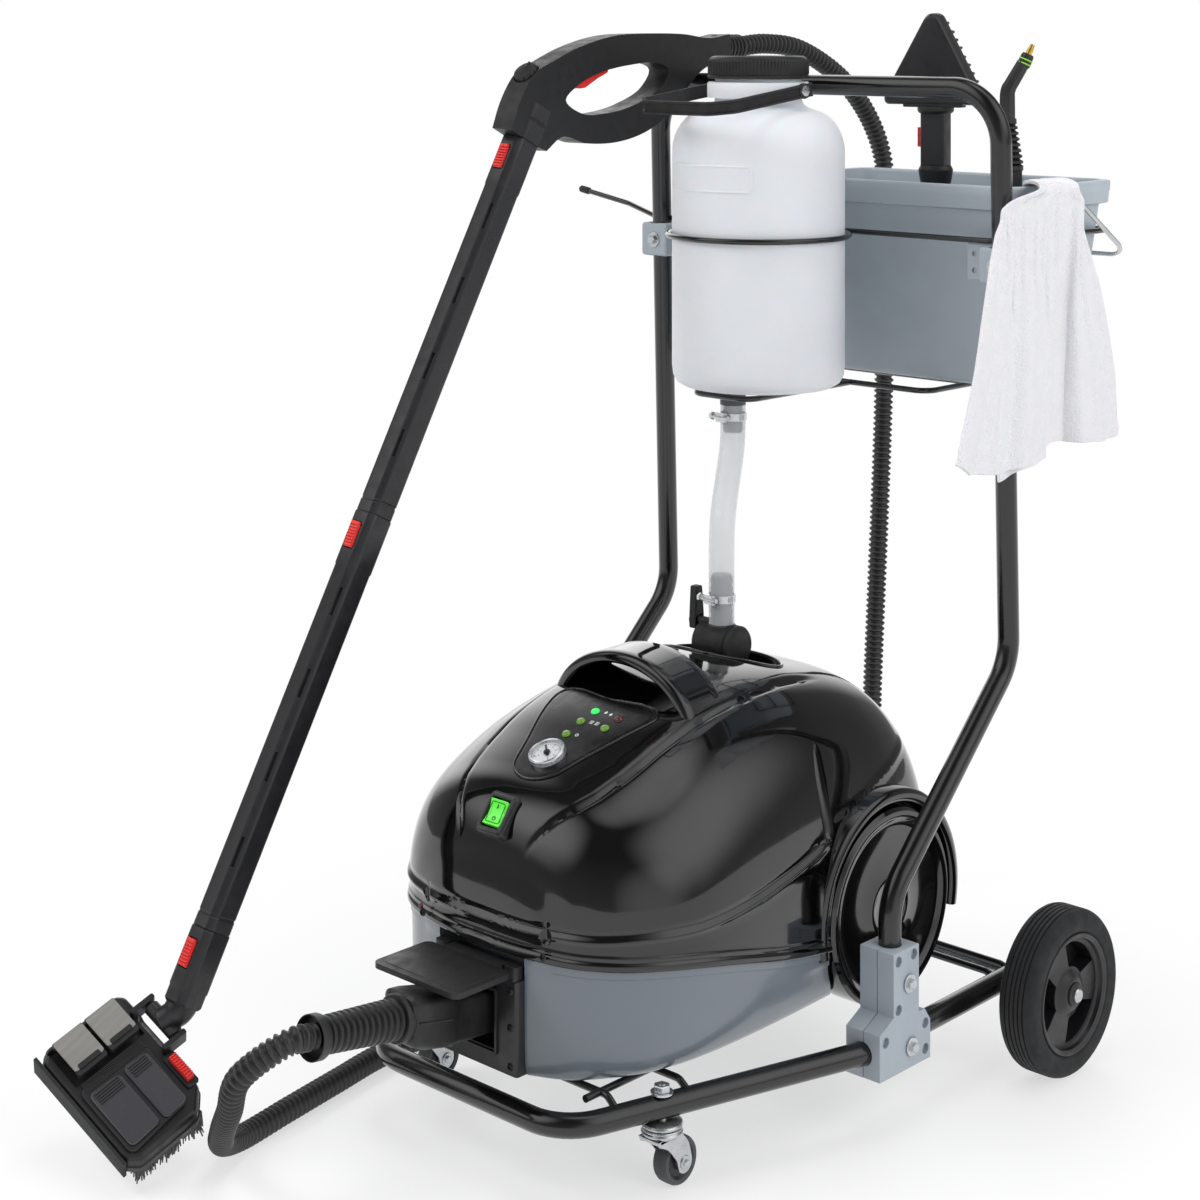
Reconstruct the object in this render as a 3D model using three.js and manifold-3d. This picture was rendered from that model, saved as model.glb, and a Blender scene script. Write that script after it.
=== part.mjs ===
// Commercial steam cleaner on a tubular trolley: a boiler unit, a water bottle, an accessory bucket,
// and a steam hose with a two-piece wand and a floor brush.
// Millimetres, +Z up. The unit faces -Y, and +X is on the right of someone looking at its front.
import * as THREE from "three";
import { mergeVertices } from "three/addons/utils/BufferGeometryUtils.js";
import Module from "manifold-3d";

// ---- Driving dimensions ----
const GAP = 0.3; // clearance between pieces that rest on each other or are fitted together
const RUNNING = 0.6; // clearance round a turning piece

const TUBE_R = 12.5; // trolley tube
const TUBE_WALL = 1.5;
const TUBE_SIDES = 8;
const WIRE_SIDES = 5;
const WIRE_R = 4; // rack rods
const RAIL_X = 263; // half the distance between the trolley's side tubes
const NOSE_X = 141; // half the length of the front crossbar
const NOSE_Y = -625;
const TAPER_Y = -285; // where the side rails stop tapering
const RAIL_REAR_Y = 22;
const RAIL_Z = { nose: 83, taper: 91.5, rear: 94 };
const LEG_FOOT_Y = -240;
const TOP_BAR = { y: -27, z: 1121 };
const LEG_KNEE = { y: -9, z: 459 };

const WHEEL = { r: 93, width: 48, inner: 300, z: 93, rim: 68 };
const WHEEL_SEGMENTS = 26;
const AXLE_R = 8;
const CASTOR = { x: 179, y: -517, r: 25, width: 20, trail: 20 };

const HOLDER = { r: 3.5, ringZ: 942, shelfZ: 755 };
const RING = { left: -127, right: 249, back: 237 }; // holder wires round the bucket
const BOTTLE = { x: -22, y: -118, r: 104, bottom: 760, neckR: 52, wall: 3 };
const BOTTLE_SEGMENTS = 20;
const SPOUT = { x: -45, y: -138, r: 11.5 };
const BUCKET = { left: -135, right: 257, front: 20, back: 240, bottom: 764, rim: 1004, draft: 30, wall: 3 };
const BUCKET_BAIL = { y: 130, z: 990, reach: 148, hang: 33 }; // angle in degrees below level
const BOTTLE_BAIL = { z: 1116, reach: 150, tilt: 7 };
const TRIANGLE = { x: 55, y: 140, tip: 1211, base: 1092, half: 66, thick: 34, turn: 12 }; // triangular brush
const NOZZLE = { x: 170, y: 128 };

const TUB_Z = 107.3; // underside of the lower tub, on the rack
const BODY_WHEEL = { r: 109, y: -165, z: 203, inner: 165, outer: 214 };
const SHELL_WALL = 4;
const SOCKET_Y = -612;
const VALVE = { x: -12, y: -198, z: 466, dish: 37 };
const LEVER_X = -51; // middle of the feed valve's lever
const FLAP = { y: SOCKET_Y + 6, z: 215 }; // hinge pin of the socket's flap
const BOILER = { x: -20, z: 222, r: 62, from: -450, to: -175, wall: 3 };
const GAUGE = { y: -500, z: 400, tilt: 24, r: 21 }; // tilts are in degrees, forward
const ROCKER = { y: -577, z: 358, tilt: 52 };
const PANEL = { y: -432, z: 432, tilt: 22 };

const WAND_TOP = new THREE.Vector3(-200, -345, 1056);
const WAND_FOOT = new THREE.Vector3(-255, -797, 152);
const WAND_SECTION = 467; // length of one extension tube
const GRIP_WIDTH = 34;
const HOSE_R = 13.5;
const KNOB = { y: -332, z: 1133, tilt: 39 };
const HEAD = { x: -258, y: -867, z: 97, width: 165, depth: 112, thick: 24, bristle: 32 };

// ---- Finishes ----
const finish = (color, roughness, metalness = 0) => ({ color, roughness, metalness });
const BLACK_PAINT = finish(0x0a0a0b, 0.28, 0.1);
const BLACK_GLOSS = finish(0x050506, 0.08);
const BLACK_PLASTIC = finish(0x1c1c1f, 0.55);
const SOFT_BLACK = finish(0x141416, 0.75);
const GREY_PLASTIC = finish(0x6d7780, 0.4);
const BUCKET_GREY = finish(0x8995a0, 0.5);
const BRACKET_GREY = finish(0x93a0ab, 0.5);
const WHITE_PLASTIC = finish(0xe3e5e9, 0.45);
const CLEAR_HOSE = finish(0xc3c6ca, 0.3);
const ZINC = finish(0xb9bdc0, 0.35, 0.9);
const RUBBER = finish(0x17181a, 0.85);
const RED = finish(0xe0231c, 0.45);
const GREEN = finish(0x2fd13c, 0.3);
const TOWEL = finish(0xf4f5f7, 0.95);
const DIAL = finish(0xc9ccd0, 0.3, 0.5);
const STAINLESS = finish(0x9fa3a6, 0.3, 0.95);
const CLIP_GREY = finish(0x84827c, 0.5, 0.3);

// ---- Solids ----
const wasm = await Module();
wasm.setup();

function toSolid(geometry) {
  const bare = geometry.index ? geometry.toNonIndexed() : geometry.clone();
  bare.deleteAttribute("normal");
  bare.deleteAttribute("uv");
  const merged = mergeVertices(bare, 1e-3);
  const mesh = new wasm.Mesh({
    numProp: 3,
    vertProperties: merged.attributes.position.array,
    triVerts: new Uint32Array(merged.index.array),
  });
  return new wasm.Manifold(mesh);
}

function toGeometry(solid) {
  const mesh = solid.getMesh();
  const geometry = new THREE.BufferGeometry();
  geometry.setAttribute("position", new THREE.BufferAttribute(new Float32Array(mesh.vertProperties), 3));
  geometry.setIndex(new THREE.BufferAttribute(new Uint32Array(mesh.triVerts), 1));
  return geometry;
}

const join = (...geometries) => toGeometry(geometries.map(toSolid).reduce((a, b) => a.add(b)));
const cut = (body, ...tools) => toGeometry(tools.map(toSolid).reduce((a, b) => a.subtract(b), toSolid(body)));
const common = (a, b) => toGeometry(toSolid(a).intersect(toSolid(b)));

const vec = (x, y, z) => new THREE.Vector3(x, y, z);
const deg = THREE.MathUtils.degToRad;

function block([x0, x1], [y0, y1], [z0, z1]) {
  const geometry = new THREE.BoxGeometry(x1 - x0, y1 - y0, z1 - z0);
  return geometry.translate((x0 + x1) / 2, (y0 + y1) / 2, (z0 + z1) / 2);
}

// A round bar between two points, tapered if its far end has another radius.
function bar(from, to, radius, sides = 16, endRadius = radius) {
  const along = to.clone().sub(from);
  const geometry = new THREE.CylinderGeometry(endRadius, radius, along.length(), sides);
  const turn = new THREE.Quaternion().setFromUnitVectors(vec(0, 1, 0), along.normalize());
  return geometry.applyQuaternion(turn).translate(...from.clone().add(to).multiplyScalar(0.5).toArray());
}

// A solid of revolution about +Z. The profile lists [radius, height] from bottom to top.
function turned(profile, segments = 24) {
  const geometry = new THREE.LatheGeometry(profile.map(([r, h]) => new THREE.Vector2(r, h)), segments);
  return geometry.rotateX(Math.PI / 2);
}

// The same solid turned so that its axis runs along +X.
const turnedAlongX = (profile, segments) => turned(profile, segments).rotateY(Math.PI / 2);

// A polyline that is swept ring by ring: a ring sits on each point and nowhere else.
class Polyline extends THREE.Curve {
  constructor(points) {
    super();
    this.points = points;
  }
  getPoint(t) {
    const place = t * (this.points.length - 1);
    const i = Math.min(Math.floor(place), this.points.length - 2);
    return this.points[i].clone().lerp(this.points[i + 1], place - i);
  }
  getPointAt(t) {
    return this.getPoint(t);
  }
  getTangent(t) {
    const i = Math.round(t * (this.points.length - 1));
    const before = this.points[Math.max(i - 1, 0)];
    const here = this.points[i];
    const after = this.points[Math.min(i + 1, this.points.length - 1)];
    const back = here.clone().sub(before).normalize();
    return back.add(after.clone().sub(here).normalize()).normalize();
  }
  getTangentAt(t) {
    return this.getTangent(t);
  }
}

// Corner points with each inner corner rounded to the given radius.
function rounded(corners, radius, stepDegrees = 28) {
  const path = [corners[0]];
  for (let i = 1; i < corners.length - 1; i++) {
    const corner = corners[i];
    const toPrevious = corners[i - 1].clone().sub(corner);
    const toNext = corners[i + 1].clone().sub(corner);
    const half = toPrevious.angleTo(toNext) / 2;
    const reach = Math.min(radius / Math.tan(half), toPrevious.length() / 2.05, toNext.length() / 2.05);
    const sweep = Math.PI - 2 * half;
    const steps = Math.max(2, Math.round(THREE.MathUtils.radToDeg(sweep) / stepDegrees));
    const arcRadius = reach * Math.tan(half);
    const start = corner.clone().addScaledVector(toPrevious.normalize(), reach);
    const end = corner.clone().addScaledVector(toNext.normalize(), reach);
    const inward = toPrevious.clone().add(toNext).normalize();
    const centre = corner.clone().addScaledVector(inward, arcRadius / Math.sin(half));
    for (let k = 0; k <= steps; k++) {
      const angle = (k / steps) * sweep;
      const a = start.clone().sub(centre).multiplyScalar(Math.sin(sweep - angle) / Math.sin(sweep));
      const b = end.clone().sub(centre).multiplyScalar(Math.sin(angle) / Math.sin(sweep));
      path.push(centre.clone().add(a).add(b));
    }
  }
  path.push(corners.at(-1));
  return path;
}

function ringShape(radius, bore, sides) {
  const circle = (r) => Array.from({ length: sides }, (_, i) => {
    const angle = (i / sides) * 2 * Math.PI;
    return new THREE.Vector2(r * Math.cos(angle), r * Math.sin(angle));
  });
  const shape = new THREE.Shape(circle(radius));
  if (bore) shape.holes.push(new THREE.Path(circle(bore)));
  return shape;
}

// A tube or rod along a path of points.
function sweep(points, radius, { bore = 0, sides = 10 } = {}) {
  const settings = { steps: points.length - 1, extrudePath: new Polyline(points), curveSegments: 1 };
  return new THREE.ExtrudeGeometry(ringShape(radius, bore, sides), settings);
}

const rod = (corners, radius, bend, sides = 8) => sweep(rounded(corners, bend), radius, { sides });

// Rings of equal length joined into a closed skin, with a flat cap on each end.
function loft(rings) {
  const count = rings[0].length;
  const corners = rings.flat().concat([rings[0], rings.at(-1)].map((ring) => {
    return ring.reduce((sum, p) => sum.add(p), vec(0, 0, 0)).divideScalar(count);
  }));
  const faces = [];
  for (let k = 0; k < count; k++) {
    const next = (k + 1) % count;
    for (let r = 0; r < rings.length - 1; r++) {
      const [a, b, c, d] = [r * count + k, r * count + next, (r + 1) * count + next, (r + 1) * count + k];
      faces.push(a, b, c, a, c, d);
    }
    const last = (rings.length - 1) * count;
    faces.push(rings.length * count, next, k, rings.length * count + 1, last + k, last + next);
  }
  const geometry = new THREE.BufferGeometry().setFromPoints(corners);
  return geometry.setIndex(faces);
}

// A plane outline given as [u, v] pairs, extruded by a thickness along +Z.
function plate(outline, thickness, holes = []) {
  const shape = new THREE.Shape(outline.map(([u, v]) => new THREE.Vector2(u, v)));
  holes.forEach((hole) => shape.holes.push(new THREE.Path(hole.map(([u, v]) => new THREE.Vector2(u, v)))));
  return new THREE.ExtrudeGeometry(shape, { depth: thickness, bevelEnabled: false });
}

// Turns a plate drawn in [y, z] so that its thickness runs along +X.
const standing = (geometry) => geometry.applyMatrix4(new THREE.Matrix4().makeBasis(
  vec(0, 1, 0), vec(0, 0, 1), vec(1, 0, 0),
));

const cleaner = new THREE.Group();

function add(name, geometry, look, parent = cleaner) {
  const mesh = new THREE.Mesh(geometry, new THREE.MeshStandardMaterial(look));
  mesh.name = name;
  mesh.geometry.computeVertexNormals();
  parent.add(mesh);
  return mesh;
}

const SIDES = [["left", -1], ["right", 1]];

// ---- Trolley frame ----
function railPath() {
  return rounded([
    vec(RAIL_X, RAIL_REAR_Y, RAIL_Z.rear), vec(RAIL_X, TAPER_Y, RAIL_Z.taper),
    vec(NOSE_X, NOSE_Y, RAIL_Z.nose), vec(-NOSE_X, NOSE_Y, RAIL_Z.nose),
    vec(-RAIL_X, TAPER_Y, RAIL_Z.taper), vec(-RAIL_X, RAIL_REAR_Y, RAIL_Z.rear),
  ], 60);
}

function legPath() {
  const side = (x) => [
    vec(x, LEG_FOOT_Y, 106), vec(x, LEG_FOOT_Y, 246),
    vec(x, LEG_KNEE.y, LEG_KNEE.z), vec(x, TOP_BAR.y, TOP_BAR.z),
  ];
  return rounded([...side(-RAIL_X), ...side(RAIL_X).reverse()], 65);
}

function railHeight(y) {
  if (y < TAPER_Y) return THREE.MathUtils.mapLinear(y, NOSE_Y, TAPER_Y, RAIL_Z.nose, RAIL_Z.taper);
  return THREE.MathUtils.mapLinear(y, TAPER_Y, RAIL_REAR_Y, RAIL_Z.taper, RAIL_Z.rear);
}

// Rack rods welded on the rails: each cross rod dips at its ends onto the tubes.
function crossRod(y, halfWidth) {
  const top = TUB_Z - GAP - WIRE_R;
  const ends = [vec(halfWidth, y, railHeight(y) + 6), vec(halfWidth - 14, y, top)];
  return rod([...ends.map((p) => p.clone().setX(-p.x)), ...ends.reverse()], WIRE_R, 12, WIRE_SIDES);
}

function rack() {
  const level = TUB_Z - GAP - WIRE_R;
  const runner = (x) => rod([vec(x, -588, level), vec(x, 12, level)], WIRE_R, 10, WIRE_SIDES);
  const runners = [runner(-138), runner(138)];
  const rear = [-34, -4].map((y) => crossRod(y, RAIL_X - 2));
  return [crossRod(-566, 162), crossRod(-487, 190), ...rear, ...runners];
}

const stemHole = (sign) => bar(
  vec(sign * CASTOR.x, CASTOR.y, 50), vec(sign * CASTOR.x, CASTOR.y, 130), 5 + GAP,
);
const axleBar = (clearance) => bar(
  vec(-WHEEL.inner - 52, 0, WHEEL.z), vec(WHEEL.inner + 52, 0, WHEEL.z), AXLE_R + clearance, 16,
);

const TUBE = { bore: TUBE_R - TUBE_WALL, sides: TUBE_SIDES };
const railTube = sweep(railPath(), TUBE_R, TUBE);
add("base_frame", cut(join(railTube, ...rack()), stemHole(-1), stemHole(1), axleBar(GAP)), BLACK_PAINT);
add("rear_axle", axleBar(0), ZINC);
add("handle_frame", sweep(legPath(), TUBE_R, TUBE), BLACK_PAINT);

// ---- Brackets that clamp the legs to the rails ----
function bracket(sign, outer) {
  const [low, high] = outer ? [RAIL_X + GAP, RAIL_X + 22.5] : [RAIL_X - 22.5, RAIL_X - GAP];
  const outline = [
    [-288, 66], [-196, 66], [-196, 108], [-206, 122], [-217, 122], [-217, 196], [-263, 196], [-263, 128],
    [-288, 116],
  ];
  const body = standing(plate(outline, high - low)).translate(low, 0, 0);
  const recesses = [[-240, 178], [-240, 142], [-275, 92], [-207, 92]].map(([y, z]) => {
    const mouth = outer ? high - 4 : low + 4;
    return bar(vec(mouth, y, z), vec(mouth + (outer ? 6 : -6), y, z), 6.5, 6);
  });
  const tubes = [railPath(), legPath()].map((path) => sweep(path, TUBE_R + GAP, { sides: TUBE_SIDES }));
  const passage = block([RAIL_X - 14, RAIL_X + 14], [-252, -228], [88, 112]);
  const half = cut(body, ...tubes, ...recesses, passage);
  return sign < 0 ? mirrored(half) : half;
}

// Mirrors a geometry across the trolley's middle plane.
function mirrored(geometry) {
  const copy = geometry.clone().scale(-1, 1, 1);
  const index = copy.index.array;
  for (let i = 0; i < index.length; i += 3) [index[i], index[i + 1]] = [index[i + 1], index[i]];
  return copy;
}

for (const [side, sign] of SIDES) {
  add(`${side}_bracket_inner`, bracket(sign, false), BRACKET_GREY);
  add(`${side}_bracket_outer`, bracket(sign, true), BRACKET_GREY);
}

// ---- Rear wheels ----
function tyre() {
  const { r, width, rim } = WHEEL;
  const profile = [
    [rim, 2], [r - 7, 0], [r - 1, 6], [r, 14], [r, width - 14], [r - 1, width - 6], [r - 7, width],
    [rim, width - 2], [rim, 2],
  ];
  return turnedAlongX(profile, WHEEL_SEGMENTS);
}

// The hub has a rim, a boss and three wide spokes with pockets between them.
function hub() {
  const r = WHEEL.rim - GAP;
  const bore = AXLE_R + RUNNING;
  const body = turnedAlongX([
    [bore, 2], [r - 2, 2], [r, 4], [r, 44], [r - 4, 46], [r - 8, 40], [24, 40],
    [20, 45], [bore, 45], [bore, 2],
  ], WHEEL_SEGMENTS);
  const pockets = [0, 1, 2].map((k) => {
    const shape = new THREE.Shape();
    shape.absarc(0, 0, 54, deg(28), deg(92), false);
    shape.absarc(0, 0, 30, deg(84), deg(36), true);
    const pocket = new THREE.ExtrudeGeometry(shape, { depth: 24, bevelEnabled: false, curveSegments: 4 });
    return pocket.rotateZ(deg(120 * k)).rotateY(Math.PI / 2).translate(18, 0, 0);
  });
  return cut(body, ...pockets);
}

for (const [side, sign] of SIDES) {
  const wheel = new THREE.Group();
  wheel.position.set(sign * WHEEL.inner, 0, WHEEL.z);
  if (sign < 0) wheel.rotation.z = Math.PI;
  cleaner.add(wheel);
  add(`${side}_hub`, hub(), BLACK_PLASTIC, wheel);
  add(`${side}_tyre`, tyre(), RUBBER, wheel);
}

// ---- Castors: a stem through the rail, a swivelling fork and a wheel that trails behind it ----
const castorMount = () => turned([
  [0, 66], [20, 66], [22, 69], [20, 72], [5, 72], [5, 99], [13, 99], [13, 101],
  [8.5, 101], [8.5, 109], [0, 109],
], 12);

function castorFork() {
  const race = turned([[0, 57], [20, 57], [22, 61], [20, 65.4], [0, 65.4]], 12);
  const cheekOutline = [[-20, 60], [16, 60], [30, 36], [30, 19], [13, 19], [-8, 44], [-20, 54]];
  const cheek = standing(plate(cheekOutline, 2.5));
  const { width, trail, r } = CASTOR;
  const pin = bar(vec(-17, trail, r), vec(17, trail, r), 3, 10);
  const crown = block([-width / 2 - 4, width / 2 + 4], [-18, 16], [55, 58.5]);
  return join(race, crown, pin, cheek.clone().translate(width / 2 + 1.5, 0, 0),
    cheek.clone().translate(-width / 2 - 4, 0, 0));
}

function castorWheel() {
  const { r, width, trail } = CASTOR;
  const half = width / 2;
  const profile = [[3.6, -half], [r - 4, -half], [r, 4 - half], [r, half - 4], [r - 4, half], [3.6, half],
    [3.6, -half]];
  return turnedAlongX(profile, 16).translate(0, trail, r);
}

for (const [side, sign] of SIDES) {
  const castor = new THREE.Group();
  castor.position.set(sign * CASTOR.x, CASTOR.y, 0);
  cleaner.add(castor);
  add(`${side}_castor_mount`, castorMount(), ZINC, castor);
  add(`${side}_castor_fork`, castorFork(), ZINC, castor);
  add(`${side}_castor_wheel`, castorWheel(), RUBBER, castor);
}

// ---- Holder: one welded wire frame round the bottle and the bucket, clamped to both legs ----
function holderFrame() {
  const { r, ringZ, shelfZ } = HOLDER;
  const { left, right, back } = RING;
  const wire = (corners, bend = 20) => rod(corners, r, bend, WIRE_SIDES);
  const front = wire([
    vec(-460, 30, ringZ + 28), vec(-370, 30, ringZ + 12), vec(-300, 6, ringZ), vec(-240, -4, ringZ),
    vec(right, -4, ringZ), vec(right, back, ringZ), vec(left, back, ringZ), vec(left, -2, ringZ),
  ]);
  const ring = new THREE.TorusGeometry(BOTTLE.r + 5, r, WIRE_SIDES, 24).translate(BOTTLE.x, BOTTLE.y, ringZ);
  const cradle = wire([
    vec(23, 8, shelfZ), vec(23, -191, shelfZ), vec(-67, -191, shelfZ), vec(-67, 8, shelfZ),
  ]);
  const shelfFront = wire([
    vec(left - 2, 6, shelfZ), vec(137, 6, shelfZ), vec(137, back, shelfZ), vec(0, back, shelfZ),
  ]);
  const shelfMiddle = wire([vec(left - 2, 105, shelfZ), vec(139, 105, shelfZ)]);
  const side = wire([vec(left, 0, ringZ), vec(left, 0, shelfZ - 1), vec(left, back, shelfZ - 1),
    vec(left, back, ringZ)], 12);
  const rear = wire([vec(left - 2, back, shelfZ), vec(120, back, shelfZ), vec(120, back, ringZ)], 12);
  return join(front, ring, cradle, shelfFront, shelfMiddle, side, rear);
}
add("holder_frame", holderFrame(), BLACK_PAINT);

function holderClamp() {
  const saddle = block([RAIL_X - 22, RAIL_X + 22], [-39, 4], [895, 937.8]);
  const flange = block([RAIL_X - 62, RAIL_X - 20], [-3, 1], [895, 937.8]);
  const leg = sweep(legPath(), TUBE_R + GAP, { sides: TUBE_SIDES });
  const holes = [906, 926].map((z) => bar(vec(RAIL_X - 52, -10, z), vec(RAIL_X - 52, 10, z), 3, 10));
  return cut(join(saddle, flange), leg, ...holes);
}
add("right_holder_clamp", holderClamp(), BRACKET_GREY);
add("left_holder_clamp", mirrored(holderClamp()), BRACKET_GREY);

// ---- Water bottle, cap and carrying bail ----
function bottle() {
  const { x, y, r, bottom, neckR, wall } = BOTTLE;
  const outside = [
    [0, bottom], [r - 20, bottom], [r - 5, bottom + 7], [r, bottom + 24], [r, 1042], [r - 5, 1064],
    [r - 18, 1082], [r - 36, 1092], [neckR + 4, 1098], [neckR, 1104], [neckR, 1150],
  ];
  const inside = [
    [neckR - wall, 1150], [neckR - wall, 1102], [r - 40, 1088], [r - 21, 1078], [r - 8, 1060],
    [r - wall, 1040], [r - wall, bottom + 24], [r - 9, bottom + 8], [r - 22, bottom + wall],
    [0, bottom + wall],
  ];
  const body = turned([...outside, ...inside], BOTTLE_SEGMENTS).translate(x, y, 0);
  const collar = turned([[neckR - 1, 1106], [61, 1106], [61, 1126], [neckR - 1, 1126], [neckR - 1, 1106]],
    BOTTLE_SEGMENTS);
  const pins = bar(vec(-72, 0, BOTTLE_BAIL.z), vec(72, 0, BOTTLE_BAIL.z), 4, 12);
  const pinsOnly = cut(pins, bar(vec(-56, 0, BOTTLE_BAIL.z), vec(56, 0, BOTTLE_BAIL.z), 8, 12));
  const spout = bar(vec(SPOUT.x, SPOUT.y, 723), vec(SPOUT.x, SPOUT.y, bottom + 1), SPOUT.r, 14);
  const shoulder = bar(vec(SPOUT.x, SPOUT.y, 751), vec(SPOUT.x, SPOUT.y, bottom + 1), 19, 14);
  const waterway = bar(vec(SPOUT.x, SPOUT.y, 700), vec(SPOUT.x, SPOUT.y, 780), SPOUT.r - 3, 12);
  const whole = [collar.translate(x, y, 0), spout, shoulder].reduce((sum, piece) => join(sum, piece), body);
  return cut(toGeometry(toSolid(whole).add(toSolid(pinsOnly.translate(x, y, 0)))), waterway);
}
add("water_bottle", bottle(), WHITE_PLASTIC);

const capProfile = [[0, 1151], [54, 1151], [54, 1130], [61.5, 1130], [61.5, 1154], [58, 1157], [0, 1157]];
add("bottle_cap", turned(capProfile, BOTTLE_SEGMENTS).translate(BOTTLE.x, BOTTLE.y, 0), BLACK_PLASTIC);

// The bail is a flat strap: its arms lie forward over the bottle's shoulder.
function bail() {
  const { reach } = BOTTLE_BAIL;
  const outline = [[70, -12], [70, reach - 22], [48, reach], [-48, reach], [-70, reach - 22], [-70, -12]];
  const inner = outline.map(([u, v]) => [u > 0 ? u - 4 : u + 4, v > 0 ? v - (v > reach - 1 ? 4 : 2) : v]);
  const strap = plate([...outline, ...inner.reverse()], 16).translate(0, 0, -8);
  return cut(strap, bar(vec(-90, 0, 0), vec(90, 0, 0), 4.5, 12));
}
const bailMesh = add("bottle_bail", bail().rotateZ(Math.PI), SOFT_BLACK);
bailMesh.position.set(BOTTLE.x, BOTTLE.y, BOTTLE_BAIL.z);
bailMesh.rotation.x = deg(BOTTLE_BAIL.tilt);

// ---- Feed line from the bottle to the boiler's filler ----
const feedPath = rounded([
  vec(SPOUT.x, SPOUT.y, 750), vec(SPOUT.x, SPOUT.y, 690),
  vec(VALVE.x, VALVE.y, 610), vec(VALVE.x, VALVE.y, 540),
], 90, 16);
add("feed_hose", sweep(feedPath, 15, { bore: SPOUT.r + 1, sides: 10 }), CLEAR_HOSE);

const spindle = (reach, radius) => bar(
  vec(LEVER_X - reach, VALVE.y, VALVE.z + 22), vec(VALVE.x, VALVE.y, VALVE.z + 22), radius, 10,
);

function feedValve() {
  const { x, y, z } = VALVE;
  const barb = bar(vec(x, y, z), vec(x, y, 562), SPOUT.r, 14);
  const shoulder = bar(vec(x, y, z), vec(x, y, 539), 15, 14);
  const body = bar(vec(x - 28, y, z), vec(x + 27, y, z), 24, 18);
  const neck = bar(vec(x, y, 405), vec(x, y, z), 13, 14);
  return join(body, barb, shoulder, neck, spindle(4, 5));
}
add("feed_valve", feedValve(), BLACK_PLASTIC);

const lever = cut(
  block([LEVER_X - 5.5, LEVER_X + 5.5], [VALVE.y - 8, VALVE.y + 8], [VALVE.z + 12, VALVE.z + 62]),
  spindle(10, 5 + RUNNING),
);
add("valve_lever", lever, SOFT_BLACK);

// ---- Bucket, its bail, and what stands in it ----
function bucketRing(z, spread, inset = 0) {
  const { left, right, front, back } = BUCKET;
  const [x0, x1] = [left + spread + inset, right - spread - inset];
  const [y0, y1] = [front + spread * 0.6 + inset, back - spread * 0.6 - inset];
  const r = 24 - inset;
  const corners = [[x1 - r, y1 - r, 0], [x0 + r, y1 - r, 90], [x0 + r, y0 + r, 180], [x1 - r, y0 + r, 270]];
  return corners.flatMap(([cx, cy, start]) => [0, 30, 60, 90].map((turn) => {
    return vec(cx + r * Math.cos(deg(start + turn)), cy + r * Math.sin(deg(start + turn)), z);
  }));
}

function bucket() {
  const { bottom, rim, draft, wall } = BUCKET;
  const flangeZ = rim - 26;
  const spreadAt = (z) => draft * (rim - z) / (rim - bottom) + 8;
  const outer = loft([bucketRing(bottom, spreadAt(bottom)), bucketRing(flangeZ - 4, spreadAt(flangeZ - 4)),
    bucketRing(flangeZ, 2), bucketRing(rim, 0)]);
  const inner = loft([bucketRing(bottom + wall, spreadAt(bottom + wall), wall),
    bucketRing(rim + 1, spreadAt(rim + 1), wall)]);
  const pins = [BUCKET.right - 1.5, BUCKET.left + 1.5].map((x) => {
    const spot = (reach) => vec(x + reach, BUCKET_BAIL.y, BUCKET_BAIL.z);
    return bar(spot(-10.5), spot(10.5), 3.2, 10);
  });
  return cut(join(outer, ...pins), inner);
}
add("bucket", bucket(), BUCKET_GREY);

function bucketBail() {
  const eye = (x) => turnedAlongX([[3.8, -3], [8, -3], [8, 3], [3.8, 3], [3.8, -3]], 12).translate(x, 0, 0);
  const [x0, x1] = [BUCKET.left - 6, BUCKET.right + 6];
  const { reach } = BUCKET_BAIL;
  const wire = rod([vec(x1, 5, 0), vec(x1, reach, 0), vec(x0, reach, 0), vec(x0, 5, 0)], 3, 20, 6);
  return join(wire, eye(x0), eye(x1));
}
const bucketBailMesh = add("bucket_bail", bucketBail(), ZINC);
bucketBailMesh.position.set(0, BUCKET_BAIL.y, BUCKET_BAIL.z);
bucketBailMesh.rotation.x = -deg(BUCKET_BAIL.hang);

// The triangular brush stands on its adapter in the bucket with its point up.
function triangleTool() {
  const { tip, base, half, thick } = TRIANGLE;
  const outline = [[-half, base], [half, base], [half, base + 14], [9, tip], [-9, tip], [-half, base + 14]];
  const head = plate(outline, thick).rotateX(Math.PI / 2).translate(0, thick / 2, 0);
  const neck = block([-19, 19], [-16, 16], [1008, base + 2]);
  const stem = block([-15, 15], [-13, 13], [790, 1010]);
  const slot = block([-22, -13], [-8, 8], [1040, 1066]);
  return cut(join(head, neck, stem), slot);
}
const triangle = new THREE.Group();
triangle.position.set(TRIANGLE.x, TRIANGLE.y, 0);
triangle.rotation.z = deg(TRIANGLE.turn);
cleaner.add(triangle);
add("triangle_tool", triangleTool(), BLACK_PLASTIC, triangle);
add("triangle_latch", block([-21.7, -15.5], [-7.5, 7.5], [1040.5, 1065.5]), RED, triangle);

function detailNozzle() {
  const { x, y } = NOZZLE;
  const base = bar(vec(x, y, 800), vec(x, y, 1030), 17, 14);
  const neck = rod([vec(x, y, 1028), vec(x, y, 1104), vec(x + 16, y + 14, 1150)], 9, 20, 10);
  const tip = bar(vec(x + 15, y + 13, 1148), vec(x + 24, y + 21, 1171), 5, 10);
  return join(base, neck, tip);
}
add("detail_nozzle", detailNozzle(), BLACK_PLASTIC);

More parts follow.
